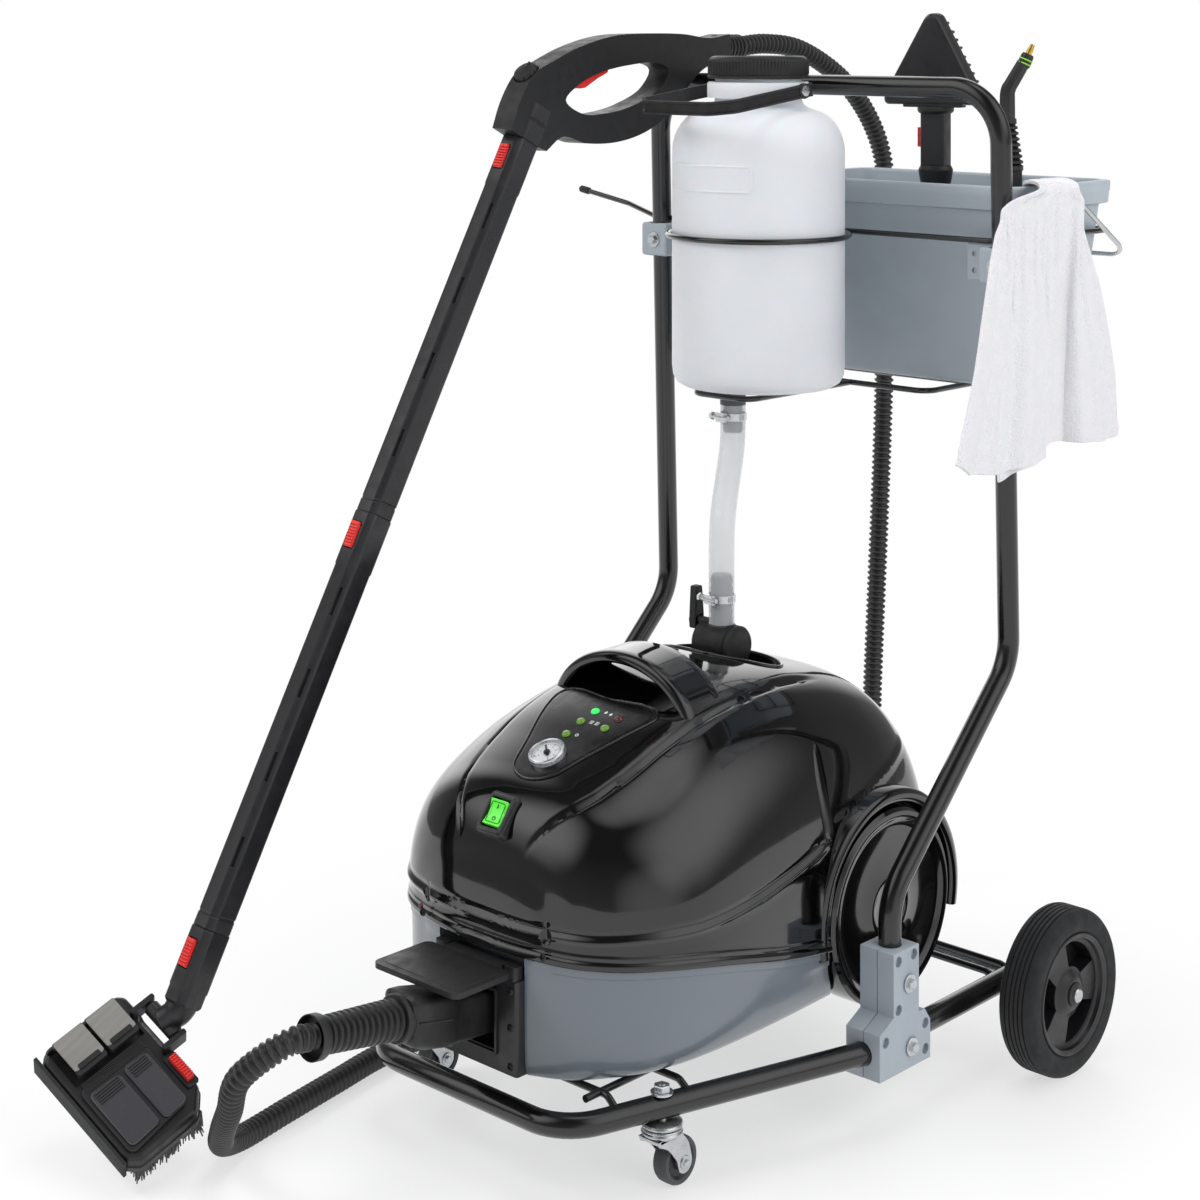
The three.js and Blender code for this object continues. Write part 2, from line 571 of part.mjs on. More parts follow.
// The towel hangs over the bucket's rim and down the right side, outside the leg.
function towel() {
  const outline = [[-188, 700], [176, 690], [150, 860], [112, 1012], [14, 1012], [-80, 860]];
  const drop = standing(plate(outline, 22));
  const over = block([230, 292], [18, 110], [1004.6, 1014]);
  const tucked = block([228, 238], [58, 110], [945, 1014]);
  return join(drop.translate(289, 0, 0), over, tucked);
}
add("towel", towel(), TOWEL);

// ---- Boiler unit casing ----
// Outline stations from nose to tail: [y, half width, crown height, lip height].
const STATIONS = [
  [-606, 30, 236, 230], [-603, 58, 258, 230], [-598, 84, 286, 230], [-592, 103, 308, 229],
  [-583, 127, 338, 229], [-570, 148, 361, 229], [-550, 168, 378, 228], [-520, 189, 392, 227],
  [-480, 204, 410, 223], [-430, 211, 432, 214], [-354, 213, 453, 197], [-270, 211, 462, 183],
  [-188, 207, 455, 176], [-120, 203, 440, 173], [-75, 193, 422, 171], [-45, 174, 398, 170],
  [-32, 152, 374, 170], [-25, 114, 344, 170],
];
const SHELL_POWER = 2.8; // squareness of the casing's cross-section

function shellRing([y, half, crown, seam], inset, floor) {
  const steps = inset > 0 ? 8 : 16;
  const arc = Array.from({ length: steps + 1 }, (_, i) => {
    const angle = (i / steps) * Math.PI;
    const across = Math.sign(Math.cos(angle)) * Math.abs(Math.cos(angle)) ** (2 / SHELL_POWER);
    const up = Math.max(0, Math.sin(angle)) ** (2 / SHELL_POWER);
    return vec((half - inset) * across, y, seam + (crown - inset - seam) * up);
  });
  return [...arc, vec(inset - half, y, seam - floor), vec(half - inset, y, seam - floor)];
}

function shellSolid(inset, floor = 0) {
  const rings = STATIONS.map((station, i) => {
    const y = station[0] + (i < 5 ? inset : i > 13 ? -inset : 0);
    return shellRing([y, ...station.slice(1)], inset, floor);
  });
  return loft(rings.reverse().map((ring) => (floor ? ring : ring.slice(0, -2))));
}

// Round recess in each flank for a body wheel, closed towards the inside by a cup.
function archTools(sign) {
  const { y, z, r, inner } = BODY_WHEEL;
  const spot = (x) => vec(sign * x, y, z);
  return {
    cup: bar(spot(inner - 8), spot(230), r + 9, 20),
    hollow: bar(spot(inner - 4), spot(240), r + 4, 20),
    stub: bar(spot(inner - 8), spot(inner + 10), 7, 12),
  };
}

// Dish in the crown under the feed valve.
const VALVE_DISH = {
  cup: bar(vec(VALVE.x, VALVE.y, 431), vec(VALVE.x, VALVE.y, 480), VALVE.dish + 4, 16),
  hollow: bar(vec(VALVE.x, VALVE.y, 435), vec(VALVE.x, VALVE.y, 490), VALVE.dish, 16),
};

// Places a tool on the casing's centreline: tilted forward by an angle, at a height.
const onNose = (geometry, { y, z, tilt }) => geometry.rotateX(deg(tilt)).translate(0, y, z);
const gaugeBody = (r) => turned([[0, -16], [r, -16], [r, 5], [r - 2, 7], [0, 7]], 24);
const rockerWell = () => block([-14, 14], [-17, 17], [-14, 12]);
const panelPlate = (grow) => {
  const half = 38 + grow;
  const end = 36 + grow;
  const outline = [[-22 - grow, -end], [22 + grow, -end], [half, 20], [half, end], [-half, end], [-half, 20]];
  return plate(outline, 6 + 2 * grow).translate(0, 0, -3 - grow);
};

function topShell() {
  const arches = SIDES.map(([, sign]) => archTools(sign));
  const skin = cut(shellSolid(0), shellSolid(SHELL_WALL, 30));
  const cups = arches.map(({ cup }) => common(cup, shellSolid(0)));
  const dish = VALVE_DISH;
  const cupped = join(skin, ...cups, common(dish.cup, shellSolid(0)));
  const body = cut(cupped, ...arches.map(({ hollow }) => hollow), dish.hollow);
  return cut(
    join(body, ...arches.map(({ stub }) => stub)),
    onNose(gaugeBody(GAUGE.r + GAP), GAUGE),
    onNose(rockerWell(), ROCKER),
    onNose(panelPlate(GAP), PANEL),
    bar(vec(VALVE.x, VALVE.y, 380), vec(VALVE.x, VALVE.y, 500), 18, 14),
  );
}
add("top_shell", topShell(), BLACK_GLOSS);

function lowerTub() {
  const ring = ([y, half, , seam], inset, floor, lid) => {
    const head = half - 3 - inset;
    const bilge = 0.88 * head;
    const foot = 0.78 * head;
    const side = [[head, seam + lid], [head, seam - 12], [bilge, floor + 26], [foot, floor]];
    return [...side, ...side.toReversed().map(([x, z]) => [-x, z])].map(([x, z]) => vec(x, y, z));
  };
  const outer = loft(STATIONS.map((s) => ring(s, 0, TUB_Z, -0.5)));
  const inner = loft(STATIONS.map((s, i) => {
    const y = s[0] + (i < 5 ? 5 : i > 13 ? -5 : 0);
    return ring([y, ...s.slice(1)], 5, TUB_Z + 5, 20);
  }));
  const arches = SIDES.map(([, sign]) => archTools(sign));
  const cups = arches.map(({ cup }) => common(cup, outer));
  const saddleTop = BOILER.z - BOILER.r - GAP;
  const saddles = [-400, -220].map((y) => block([-70, 30], [y - 4, y + 4], [TUB_Z + 2, saddleTop]));
  const walls = cut(join(cut(outer, inner), ...cups), ...arches.map(({ hollow }) => hollow));
  return cut(join(walls, ...saddles), block([-64, 64], [-620, -570], [100, FLAP.z + 20]));
}
add("lower_tub", lowerTub(), GREY_PLASTIC);

function boiler() {
  const { r, from, to, wall } = BOILER;
  const length = to - from;
  const inside = [
    [0, length - wall], [r - 8, length - 14], [r - wall, length - 30], [r - wall, 30], [r - 8, 14],
    [10, wall],
  ];
  const outside = [[10, 0], [r - 16, 2], [r - 4, 14], [r, 30], [r, length - 30], [r - 4, length - 14],
    [r - 16, length - 2], [0, length]];
  const tank = turned([...inside, ...outside], 18);
  return tank.rotateX(-Math.PI / 2).translate(BOILER.x, from, BOILER.z);
}
add("boiler", boiler(), STAINLESS);

function waterPump() {
  const coil = block([48, 90], [-330, -270], [TUB_Z + 5 + GAP, TUB_Z + 60]);
  const cylinder = bar(vec(69, -360, TUB_Z + 33), vec(69, -240, TUB_Z + 33), 12, 12);
  return join(coil, cylinder);
}
add("water_pump", waterPump(), BLACK_PLASTIC);

// The body wheels turn on stubs in the recesses.
function bodyWheel() {
  const { r, inner, outer } = BODY_WHEEL;
  const width = outer - inner;
  const web = width - 12;
  const bore = 7 + RUNNING;
  const profile = [
    [bore, 0], [24, 0], [24, web], [r - 8, web], [r - 8, 0], [r, 0], [r, width - 10],
    [r - 7, width - 3], [r - 16, width - 6], [30, width - 6], [24, width], [0, width], [0, 14],
    [bore, 14], [bore, 0],
  ];
  return turnedAlongX(profile, 26);
}
for (const [side, sign] of SIDES) {
  const wheel = add(`${side}_body_wheel`, bodyWheel(), BLACK_GLOSS);
  wheel.position.set(sign * BODY_WHEEL.inner, BODY_WHEEL.y, BODY_WHEEL.z);
  if (sign < 0) wheel.rotation.z = Math.PI;
}

function carryHandle() {
  const arch = (halfWidth, height) => {
    return new THREE.EllipseCurve(0, 0, halfWidth, height, 0, Math.PI).getPoints(12);
  };
  const outline = [...arch(109, 84), ...arch(92, 64).reverse()].map((p) => [p.x, p.y]);
  const band = plate(outline, 66).rotateX(Math.PI / 2).translate(0, -322, 413);
  return cut(band, shellSolid(-GAP));
}
add("carry_handle", carryHandle(), BLACK_GLOSS);

const panel = add("control_panel", panelPlate(0), BLACK_PLASTIC);
panel.position.set(0, PANEL.y, PANEL.z);
panel.rotation.x = deg(PANEL.tilt);

const dash = new THREE.Group();
dash.position.set(0, GAUGE.y, GAUGE.z);
dash.rotation.x = deg(GAUGE.tilt);
cleaner.add(dash);
const dialRecess = turned([[0, 3], [GAUGE.r - 3, 3], [GAUGE.r - 3, 8], [0, 8]], 24);
const needlePivot = bar(vec(0, 0, 2), vec(0, 0, 5.4), 1.5, 10);
add("pressure_gauge", join(cut(gaugeBody(GAUGE.r), dialRecess), needlePivot), DIAL, dash);
const needleHole = bar(vec(0, 0, 0), vec(0, 0, 9), 2, 10);
const needle = join(block([-1.2, 1.2], [-5, 14], [3.8, 4.8]), bar(vec(0, 0, 3.8), vec(0, 0, 4.8), 4, 12));
add("gauge_needle", cut(needle, needleHole).rotateZ(deg(48)), SOFT_BLACK, dash);

const rockerGroup = new THREE.Group();
rockerGroup.position.set(0, ROCKER.y, ROCKER.z);
rockerGroup.rotation.x = deg(ROCKER.tilt);
cleaner.add(rockerGroup);
const rockerOutline = [[-13.5, 5], [0, 2.5], [13.5, 7.5], [13.5, -2], [6, -8], [-6, -8], [-13.5, -2]];
add("rocker_switch", standing(plate(rockerOutline.reverse(), 22)).translate(-11, 0, 0), GREEN, rockerGroup);

// ---- Steam outlet: socket, sprung flap, plug ----
function steamSocket() {
  const housing = block([-63.5, 63.5], [SOCKET_Y, -571], [108, FLAP.z - 8]);
  const pocket = block([-30, 30], [SOCKET_Y - 2, -586], [130, 188]);
  const knuckles = [-52, 52].map((x) => {
    return block([x - 9, x + 9], [SOCKET_Y, SOCKET_Y + 14], [FLAP.z - 9, FLAP.z + 6]);
  });
  const pin = bar(vec(-60, FLAP.y, FLAP.z), vec(60, FLAP.y, FLAP.z), 2, 10);
  return join(cut(housing, pocket), ...knuckles, pin);
}
add("steam_socket", steamSocket(), BLACK_PLASTIC);

function socketFlap() {
  const { y, z } = FLAP;
  const lid = block([-64, 64], [y - 92, y - 12], [z - 1, z + 5]);
  const knuckle = block([-42, 42], [y - 13, y + 5], [z - 4, z + 5]);
  return cut(join(lid, knuckle), bar(vec(-70, y, z), vec(70, y, z), 2 + RUNNING, 10));
}
add("socket_flap", socketFlap(), BLACK_PLASTIC);

function steamPlug() {
  const station = (y, z, w, h) => [
    vec(w - 7, y, z - h), vec(w, y, z - h + 7), vec(w, y, z + h - 7), vec(w - 7, y, z + h),
    vec(7 - w, y, z + h), vec(-w, y, z + h - 7), vec(-w, y, z - h + 7), vec(7 - w, y, z - h),
  ];
  const body = loft([station(-588, 160, 23, 23), station(-660, 171, 24, 25), station(-716, 184, 25, 26)]);
  const collar = bar(vec(0, -716, 184), vec(0, -728, 187), 24, 20);
  const sleeve = bar(vec(0, -726, 187), vec(0, -838.8, 202), 22, 16, 18);
  return join(body, collar, sleeve);
}
add("steam_plug", steamPlug(), BLACK_PLASTIC);

// ---- Steam hose: from the plug, round on the floor, under the trolley and up to the grip ----
const hosePath = new THREE.CatmullRomCurve3([
  vec(0, -841, 202.4), vec(-2, -858, 203.5), vec(-40, -888, 168), vec(-78, -872, 118), vec(-128, -842, 72),
  vec(-172, -808, 34), vec(-200, -760, 15), vec(-215, -690, 14), vec(-232, -600, 14), vec(-246, -520, 14),
  vec(-248, -300, 14), vec(-248, 60, 14), vec(-240, 210, 14), vec(-212, 298, 28), vec(-190, 326, 90),
  vec(-180, 322, 274), vec(-173, 338, 674), vec(-172, 342, 900), vec(-174, 334, 1021), vec(-180, 274, 1106),
  vec(-190, 176, 1161), vec(-197, 110, 1170), vec(-200, 58.5, 1166.2),
], false, "centripetal");
// Places along the hose, as shares of its length: close together in bends, far apart on straights.
const hoseStops = [
  0, 0.006, 0.018, 0.03, 0.045, 0.06, 0.075, 0.09, 0.105, 0.12, 0.14, 0.165, 0.195, 0.225, 0.25, 0.34,
  0.43, 0.47, 0.485, 0.5, 0.515, 0.53, 0.545, 0.57, 0.68, 0.8, 0.83, 0.85, 0.87, 0.89, 0.91, 0.93, 0.95,
  0.97, 1,
];
add("steam_hose", sweep(hoseStops.map((t) => hosePath.getPointAt(t)), HOSE_R, { sides: 8 }), SOFT_BLACK);

// ---- Wand ----
// The wand's own frame: +Z runs from the foot to the grip, and -Y is its front face.
const wand = new THREE.Group();
const wandAxis = WAND_TOP.clone().sub(WAND_FOOT).normalize();
const wandFront = vec(0, -1, 0).addScaledVector(wandAxis, wandAxis.y).normalize();
const wandBack = wandFront.clone().negate();
const wandSide = wandBack.clone().cross(wandAxis).normalize();
wand.quaternion.setFromRotationMatrix(new THREE.Matrix4().makeBasis(wandSide, wandBack, wandAxis));
wand.position.copy(WAND_TOP);
cleaner.add(wand);

const wandOutline = [[-17, -12], [-10, -19], [10, -19], [17, -12], [17, 12], [10, 19], [-10, 19], [-17, 12]];
// One extension tube, hanging down from its upper end at the given height, with a button slot at the top.
function wandTube(top) {
  const outline = wandOutline.map(([u, v]) => [u, v]);
  const bore = wandOutline.map(([u, v]) => [u * 0.62, v * 0.62]);
  const tube = plate(outline, WAND_SECTION - GAP, [bore]).translate(0, 0, top - WAND_SECTION);
  return cut(tube, buttonSlot(top));
}
const buttonSlot = (top) => block([-7, 7], [-22, -13], [top - 44, top - 12]);
const release = (top) => block([-6.4, 6.4], [-24, -15.6], [top - 43, top - 13]);

add("upper_wand", wandTube(0), BLACK_PLASTIC, wand);
add("lower_wand", wandTube(-WAND_SECTION), BLACK_PLASTIC, wand);
add("upper_release", release(0), RED, wand);
add("middle_release", release(-WAND_SECTION), RED, wand);
add("lower_release", release(-2 * WAND_SECTION), RED, wand);

// Points on a smooth curve through the given corners.
function smooth(corners, perCorner = 2) {
  const curve = new THREE.SplineCurve(corners.map(([u, v]) => new THREE.Vector2(u, v)));
  return curve.getPoints((corners.length - 1) * perCorner);
}

// The grip is a closed loop drawn in the wand's plane, [y, z], with the trigger under its upper arm.
function wandGrip() {
  const outer = new THREE.Shape([
    ...smooth([
      [-378, 1066], [-361, 1106], [-337, 1137], [-304, 1152], [-260, 1168], [-200, 1181], [-134, 1184],
      [-70, 1183], [-20, 1178], [20, 1183],
    ]),
    ...smooth([[24, 1150], [-28, 1140], [-60, 1118], [-88, 1090], [-135, 1064], [-190, 1051], [-250, 1051],
      [-290, 1060], [-318, 1044]]),
  ]);
  const opening = smooth([[-285, 1104], [-262, 1122], [-225, 1136], [-171, 1145], [-122, 1147], [-99, 1138],
    [-116, 1115], [-162, 1096], [-208, 1087], [-256, 1087], [-285, 1104]]);
  outer.holes.push(new THREE.Path(opening.slice(1).reverse()));
  const loop = standing(new THREE.ExtrudeGeometry(outer, { depth: GRIP_WIDTH, bevelEnabled: false }))
    .translate(WAND_TOP.x - GRIP_WIDTH / 2, 0, 0);
  const socket = block([-18, 18], [-19, 19], [GAP, 46]).applyMatrix4(wand.matrix);
  const sleeve = bar(vec(WAND_TOP.x, 6, 1165), vec(WAND_TOP.x, 56.5, 1166), 17, 14);
  const below = block([-30, 30], [-60, 60], [-60, GAP]).applyMatrix4(wand.matrix);
  const socketed = join(cut(loop, below), socket, sleeve);
  return cut(socketed, triggerRoom(), knobRoom());
}
function triggerRoom() {
  const outline = [[-262, 1108], [-193, 1128], [-193, 1156], [-206, 1158], [-262, 1150]];
  return standing(plate(outline, 13)).translate(WAND_TOP.x - 6.5, 0, 0);
}
const knobRoom = () => bar(vec(0, 0, -1), vec(0, 0, 30), 16.5, 16).rotateX(deg(KNOB.tilt))
  .translate(WAND_TOP.x, KNOB.y, KNOB.z);
wand.updateMatrix();
add("wand_grip", wandGrip(), BLACK_PLASTIC);

const triggerShape = [[-256, 1118], [-238, 1118], [-198, 1136], [-198, 1150], [-206, 1152], [-256, 1132]];
add("grip_trigger", standing(plate(triggerShape, 11)).translate(-205.5, 0, 0), RED);

const knobProfile = [[0, 0], [14, 0], [15, 3], [15, 9], [12, 12], [0, 12]];
const knob = add("steam_knob", turned(knobProfile, 16), SOFT_BLACK);
knob.position.set(WAND_TOP.x, KNOB.y, KNOB.z);
knob.rotation.x = deg(KNOB.tilt);

// ---- Floor brush ----
// The head leans on the floor: its own frame has +Z out of its top face and +Y towards the wand.
const head = new THREE.Group();
head.position.set(HEAD.x, HEAD.y, HEAD.z);
head.rotation.set(deg(25), deg(30), deg(-5));
cleaner.add(head);
head.updateMatrix();

function brushNeck() {
  const elbow = vec(0, 0, -2 * WAND_SECTION - 86).applyMatrix4(wand.matrix);
  const joint = vec(-20, HEAD.depth / 2 + 8, 4).applyMatrix4(head.matrix);
  const foot = -2 * WAND_SECTION;
  const upper = plate(wandOutline, 78).translate(0, 0, foot - 78 - GAP).applyMatrix4(wand.matrix);
  const start = vec(0, 0, foot - 74).applyMatrix4(wand.matrix);
  const lower = sweep([start, elbow, joint], 15, { sides: 10 });
  const hingeBar = (x0, x1, r) => bar(vec(x0, HEAD.depth / 2 + 8, 4), vec(x1, HEAD.depth / 2 + 8, 4), r, 14)
    .applyMatrix4(head.matrix);
  const slot = buttonSlot(-2 * WAND_SECTION).applyMatrix4(wand.matrix);
  return cut(join(upper, lower, hingeBar(-42, 2, 8)), slot, hingeBar(-60, 20, 4.2));
}
add("brush_neck", brushNeck(), BLACK_PLASTIC);

function brushBody() {
  const { width, depth, thick } = HEAD;
  const [w, d] = [width / 2, depth / 2];
  const outline = [
    [-w, 10 - d], [10 - w, -d], [w - 10, -d], [w, 10 - d], [w, d - 26], [w - 22, d - 6], [6, d - 1],
    [-w + 8, d - 1], [-w, d - 9],
  ];
  const slab = plate(outline, thick).translate(0, 0, -thick);
  const deck = plate([[-18, 8 - d], [w - 10, 8 - d], [w - 16, d - 28], [-10, d - 20]], 7);
  const room = bar(vec(-44, d + 8, 4), vec(4, d + 8, 4), 19, 16);
  const ears = [[-50, -44], [4, 10]].map(([x0, x1]) => block([x0, x1], [d - 14, d + 16], [-6, 12]));
  const pin = bar(vec(-47, d + 8, 4), vec(7, d + 8, 4), 3.4, 10);
  const deckPockets = block([-w + 8, -24], [-d + 10, d - 14], [-7, 1]);
  return join(cut(join(slab, deck), room, deckPockets), ...ears, pin);
}
add("brush_body", brushBody(), BLACK_PLASTIC, head);

const { width: hw, depth: hd, thick, bristle } = HEAD;
const bristleBlock = block(
  [8 - hw / 2, hw / 2 - 8], [14 - hd / 2, hd / 2 - 12], [-thick - bristle, -thick - GAP],
);
add("brush_bristles", bristleBlock, SOFT_BLACK, head);

function clip(y0, y1) {
  const x0 = 10 - hw / 2;
  return block([x0, -30], [y0, y1], [1, 7]);
}
add("front_clip", clip(16 - hd / 2, -3), CLIP_GREY, head);
add("rear_clip", clip(1, hd / 2 - 18), CLIP_GREY, head);

// The row's origin is under the middle of the whole object, on the floor.
const extent = new THREE.Box3().setFromObject(cleaner, true);
const middle = extent.getCenter(new THREE.Vector3());
cleaner.position.set(-middle.x, -middle.y, -extent.min.z);
const steamCleaner = new THREE.Group();
steamCleaner.add(cleaner);

export default steamCleaner;
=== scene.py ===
# Looks of a commercial steam cleaner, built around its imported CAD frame.
# Every piece is drawn in the trolley's own frame, in millimetres: x from the centreline, y from the rear
# axle (the unit faces -Y) and z from the floor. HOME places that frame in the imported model.
import math

import bmesh
import bpy
import numpy as np
from mathutils import Matrix, Vector

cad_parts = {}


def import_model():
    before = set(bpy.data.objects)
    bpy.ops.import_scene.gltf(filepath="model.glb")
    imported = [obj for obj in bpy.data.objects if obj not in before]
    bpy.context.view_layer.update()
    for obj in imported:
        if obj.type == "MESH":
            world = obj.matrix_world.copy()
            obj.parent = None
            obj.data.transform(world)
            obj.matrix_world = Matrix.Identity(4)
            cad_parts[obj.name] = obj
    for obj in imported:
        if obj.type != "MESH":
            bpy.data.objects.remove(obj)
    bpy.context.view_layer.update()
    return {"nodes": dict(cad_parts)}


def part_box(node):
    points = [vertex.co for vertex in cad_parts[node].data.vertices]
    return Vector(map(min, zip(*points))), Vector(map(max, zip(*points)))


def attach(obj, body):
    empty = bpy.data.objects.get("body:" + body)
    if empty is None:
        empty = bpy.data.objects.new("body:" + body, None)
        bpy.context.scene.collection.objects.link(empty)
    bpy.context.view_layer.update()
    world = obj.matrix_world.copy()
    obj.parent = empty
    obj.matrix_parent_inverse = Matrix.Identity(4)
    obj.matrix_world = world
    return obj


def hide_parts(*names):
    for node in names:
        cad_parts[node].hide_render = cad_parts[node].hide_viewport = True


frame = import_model()

# ---- Driving dimensions ----
TUBE_R = 12.5
RAIL_X = 263
WIRE_R = 4
HOLDER_R = 3.5
WHEEL_R = 93
WHEEL_INNER = 300
CASTOR = Vector((179, -517, 0))
CASTOR_TRAIL = 20
RING_Z = 942
SHELF_Z = 755
BOTTLE = Vector((-22, -118, 0))
BOTTLE_R = 104
SPOUT = Vector((-45, -138, 0))
VALVE = Vector((-12, -198, 466))
RIM_Z = 1004
TUB_Z = 107.3
BODY_WHEEL = Vector((0, -165, 203))
GAUGE = (-501.8, 404.1, 24)  # y, z and forward tilt in degrees
SOCKET_Y = -612
FLAP = Vector((0, -606, 215))
HOSE_R = 13.5
WAND_TOP = Vector((-200, -345, 1056))
WAND_FOOT = Vector((-255, -797, 152))
WAND_SECTION = 467
HEAD_W = 165
HEAD_D = 112
LENS_SHIFT = -0.4755  # in sensor widths

axle_low, axle_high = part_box("rear_axle")
HOME = (axle_low + axle_high) / 2 - Vector((0, 0, WHEEL_R / 1000))


# ---- Shapes: a shape is (points, faces), in millimetres ----
def arr(points):
    return np.array([tuple(p) for p in points], float)


def combine(*shapes):
    points, faces, base = [], [], 0
    for shape_points, shape_faces in shapes:
        points.append(arr(shape_points))
        faces += [[i + base for i in face] for face in shape_faces]
        base += len(shape_points)
    return np.vstack(points), faces


def placed(shape, matrix):
    m = np.array(matrix)
    return shape[0] @ m[:3, :3].T + m[:3, 3], shape[1]


def shifted(shape, x, y, z):
    return shape[0] + np.array((x, y, z)), shape[1]


def mirrored(shape):
    return shape[0] * (-1, 1, 1), [face[::-1] for face in shape[1]]


def aim(shape, at, direction):
    """Puts a shape's origin at a point, with its +Z along a direction."""
    turn = Vector((0, 0, 1)).rotation_difference(Vector(direction)).to_matrix().to_4x4()
    return placed(shape, Matrix.Translation(at) @ turn)


def along_x(shape):
    """Turns a shape's +Z to +X."""
    return shape[0][:, [2, 0, 1]], shape[1]


def skin(rows, wrap=False, caps=True):
    """Rings of equal length joined into a skin; wrap joins the last ring to the first."""
    count, length = len(rows), len(rows[0])
    faces = []
    for r in range(count if wrap else count - 1):
        for c in range(length):
            a, b = r * length, (r + 1) % count * length
            d = (c + 1) % length
            faces.append([a + c, a + d, b + d, b + c])
    if caps and not wrap:
        faces.append(list(range(length))[::-1])
        faces.append(list(range((count - 1) * length, count * length)))
    return np.vstack([arr(row) for row in rows]), faces


def circle(radius, sides=24, start=0.0, turn=360.0):
    """Points [u, v] on a circle, or on an arc when turn is less than a full turn."""
    full = abs(turn) >= 360
    angles = np.radians(start + np.linspace(0, turn, sides, endpoint=not full))
    return np.stack([radius * np.cos(angles), radius * np.sin(angles)], 1)


def lathe(profile, sides=64):
    """A solid of revolution about +Z from [radius, height] pairs. A closed profile makes a ring."""
    ring = circle(1, sides)
    rows = [np.column_stack([ring * r, np.full(sides, float(h))]) for r, h in profile]
    closed = tuple(profile[0]) == tuple(profile[-1])
    if closed:
        return skin(rows[:-1], wrap=True)
    return skin(rows)


def unit(v):
    return v / np.linalg.norm(v, axis=-1, keepdims=True)


def sweep(path, outline, up=None, scale=None, wrap=False):
    """An outline [u, v] carried along a path. With up given, v stays as near to it as it can."""
    path = arr(path)
    outline = np.asarray(outline, float)
    ahead, behind = np.roll(path, -1, 0), np.roll(path, 1, 0)
    if not wrap:
        ahead[-1], behind[0] = path[-1], path[0]
    tangents = unit(ahead - behind)
    start = np.array(up if up is not None else (0.31, 0.2, 0.93), float)
    if up is None and abs(tangents[0] @ unit(start)) > 0.9:
        start = np.array((1.0, 0.1, 0.0))
    rows = []
    for i, (point, t) in enumerate(zip(path, tangents)):
        normal = unit(start - t * (start @ t))
        if up is None:
            start = normal
        side = np.cross(normal, t)
        size = 1 if scale is None else scale[i]
        rows.append(point + size * (outline[:, :1] * side + outline[:, 1:] * normal))
    return skin(rows, wrap=wrap)


def tube(path, radius, sides=20, **options):
    return sweep(path, circle(radius, sides), **options)


def rounded(corners, radius, step=7):
    """Corner points with each inner corner rounded to a radius."""
    corners = [Vector(c) for c in corners]
    path = [corners[0]]
    for before, corner, after in zip(corners, corners[1:], corners[2:]):
        back, on = before - corner, after - corner
        half = back.angle(on) / 2
        reach = min(radius / math.tan(half), back.length / 2.05, on.length / 2.05)
        arc = math.pi - 2 * half
        steps = max(3, round(math.degrees(arc) / step))
        centre = corner + (back.normalized() + on.normalized()).normalized() * (reach / math.cos(half))
        start = corner + back.normalized() * reach - centre
        end = corner + on.normalized() * reach - centre
        for k in range(steps + 1):
            angle = arc * k / steps
            path.append(centre + start * (math.sin(arc - angle) / math.sin(arc)) + end * (math.sin(angle) / math.sin(arc)))
    path.append(corners[-1])
    return path


def spline(points, count, closed=False):
    """A centripetal Catmull-Rom curve through points, sampled at equal steps."""
    p = arr(points)
    ends = (p[-1:], p[:2]) if closed else (2 * p[:1] - p[1:2], 2 * p[-1:] - p[-2:-1])
    p = np.vstack([ends[0], p, ends[1]])
    fine = []
    for i in range(1, len(p) - 2):
        q = p[i - 1:i + 3]
        t = np.concatenate([[0], np.cumsum(np.sqrt(np.linalg.norm(np.diff(q, axis=0), axis=1)) + 1e-9)])
        for s in np.linspace(t[1], t[2], 24, endpoint=False):
            a = [(q[k] * (t[k + 1] - s) + q[k + 1] * (s - t[k])) / (t[k + 1] - t[k]) for k in range(3)]
            b = [(a[k] * (t[k + 2] - s) + a[k + 1] * (s - t[k])) / (t[k + 2] - t[k]) for k in range(2)]
            fine.append((b[0] * (t[2] - s) + b[1] * (s - t[1])) / (t[2] - t[1]))
    fine.append(p[-2])
    return resampled(fine, count, closed)


def resampled(points, count, closed=False):
    points = arr(points)
    run = np.concatenate([[0], np.cumsum(np.linalg.norm(np.diff(points, axis=0), axis=1))])
    marks = np.linspace(0, run[-1], count, endpoint=not closed)
    return np.stack([np.interp(marks, run, points[:, k]) for k in range(points.shape[1])], 1)


def prism(outline, low, high):
    """A plane outline [u, v] given thickness along +Z."""
    outline = np.asarray(outline, float)
    return skin([np.column_stack([outline, np.full(len(outline), float(z))]) for z in (low, high)])


def standing(outline, low, high):
    """A plane outline [y, z] given thickness along +X."""
    return along_x(prism(outline, low, high))


def box(x, y, z):
    return prism([(x[0], y[0]), (x[1], y[0]), (x[1], y[1]), (x[0], y[1])], *z)


def soft_box(x, y, z, radius):
    """A box whose upright edges are round."""
    return prism(soft_rectangle(x, y, radius), *z)


def soft_rectangle(x, y, radius, steps=6):
    corners = [(x[1] - radius, y[1] - radius, 0), (x[0] + radius, y[1] - radius, 90),
               (x[0] + radius, y[0] + radius, 180), (x[1] - radius, y[0] + radius, 270)]
    return np.vstack([circle(radius, steps, start, 90) + (cx, cy) for cx, cy, start in corners])


def rod(corners, radius, bend, sides=12):
    return tube(rounded(corners, bend), radius, sides)


def bar(start, end, radius, sides=24):
    """A round bar with eased ends."""
    start, end = Vector(start), Vector(end)
    length = (end - start).length
    ease = min(radius * 0.2, length * 0.1)
    profile = [(0, 0), (radius - ease, 0), (radius, ease), (radius, length - ease), (radius - ease, length), (0, length)]
    return aim(lathe(profile, sides), start, end - start)


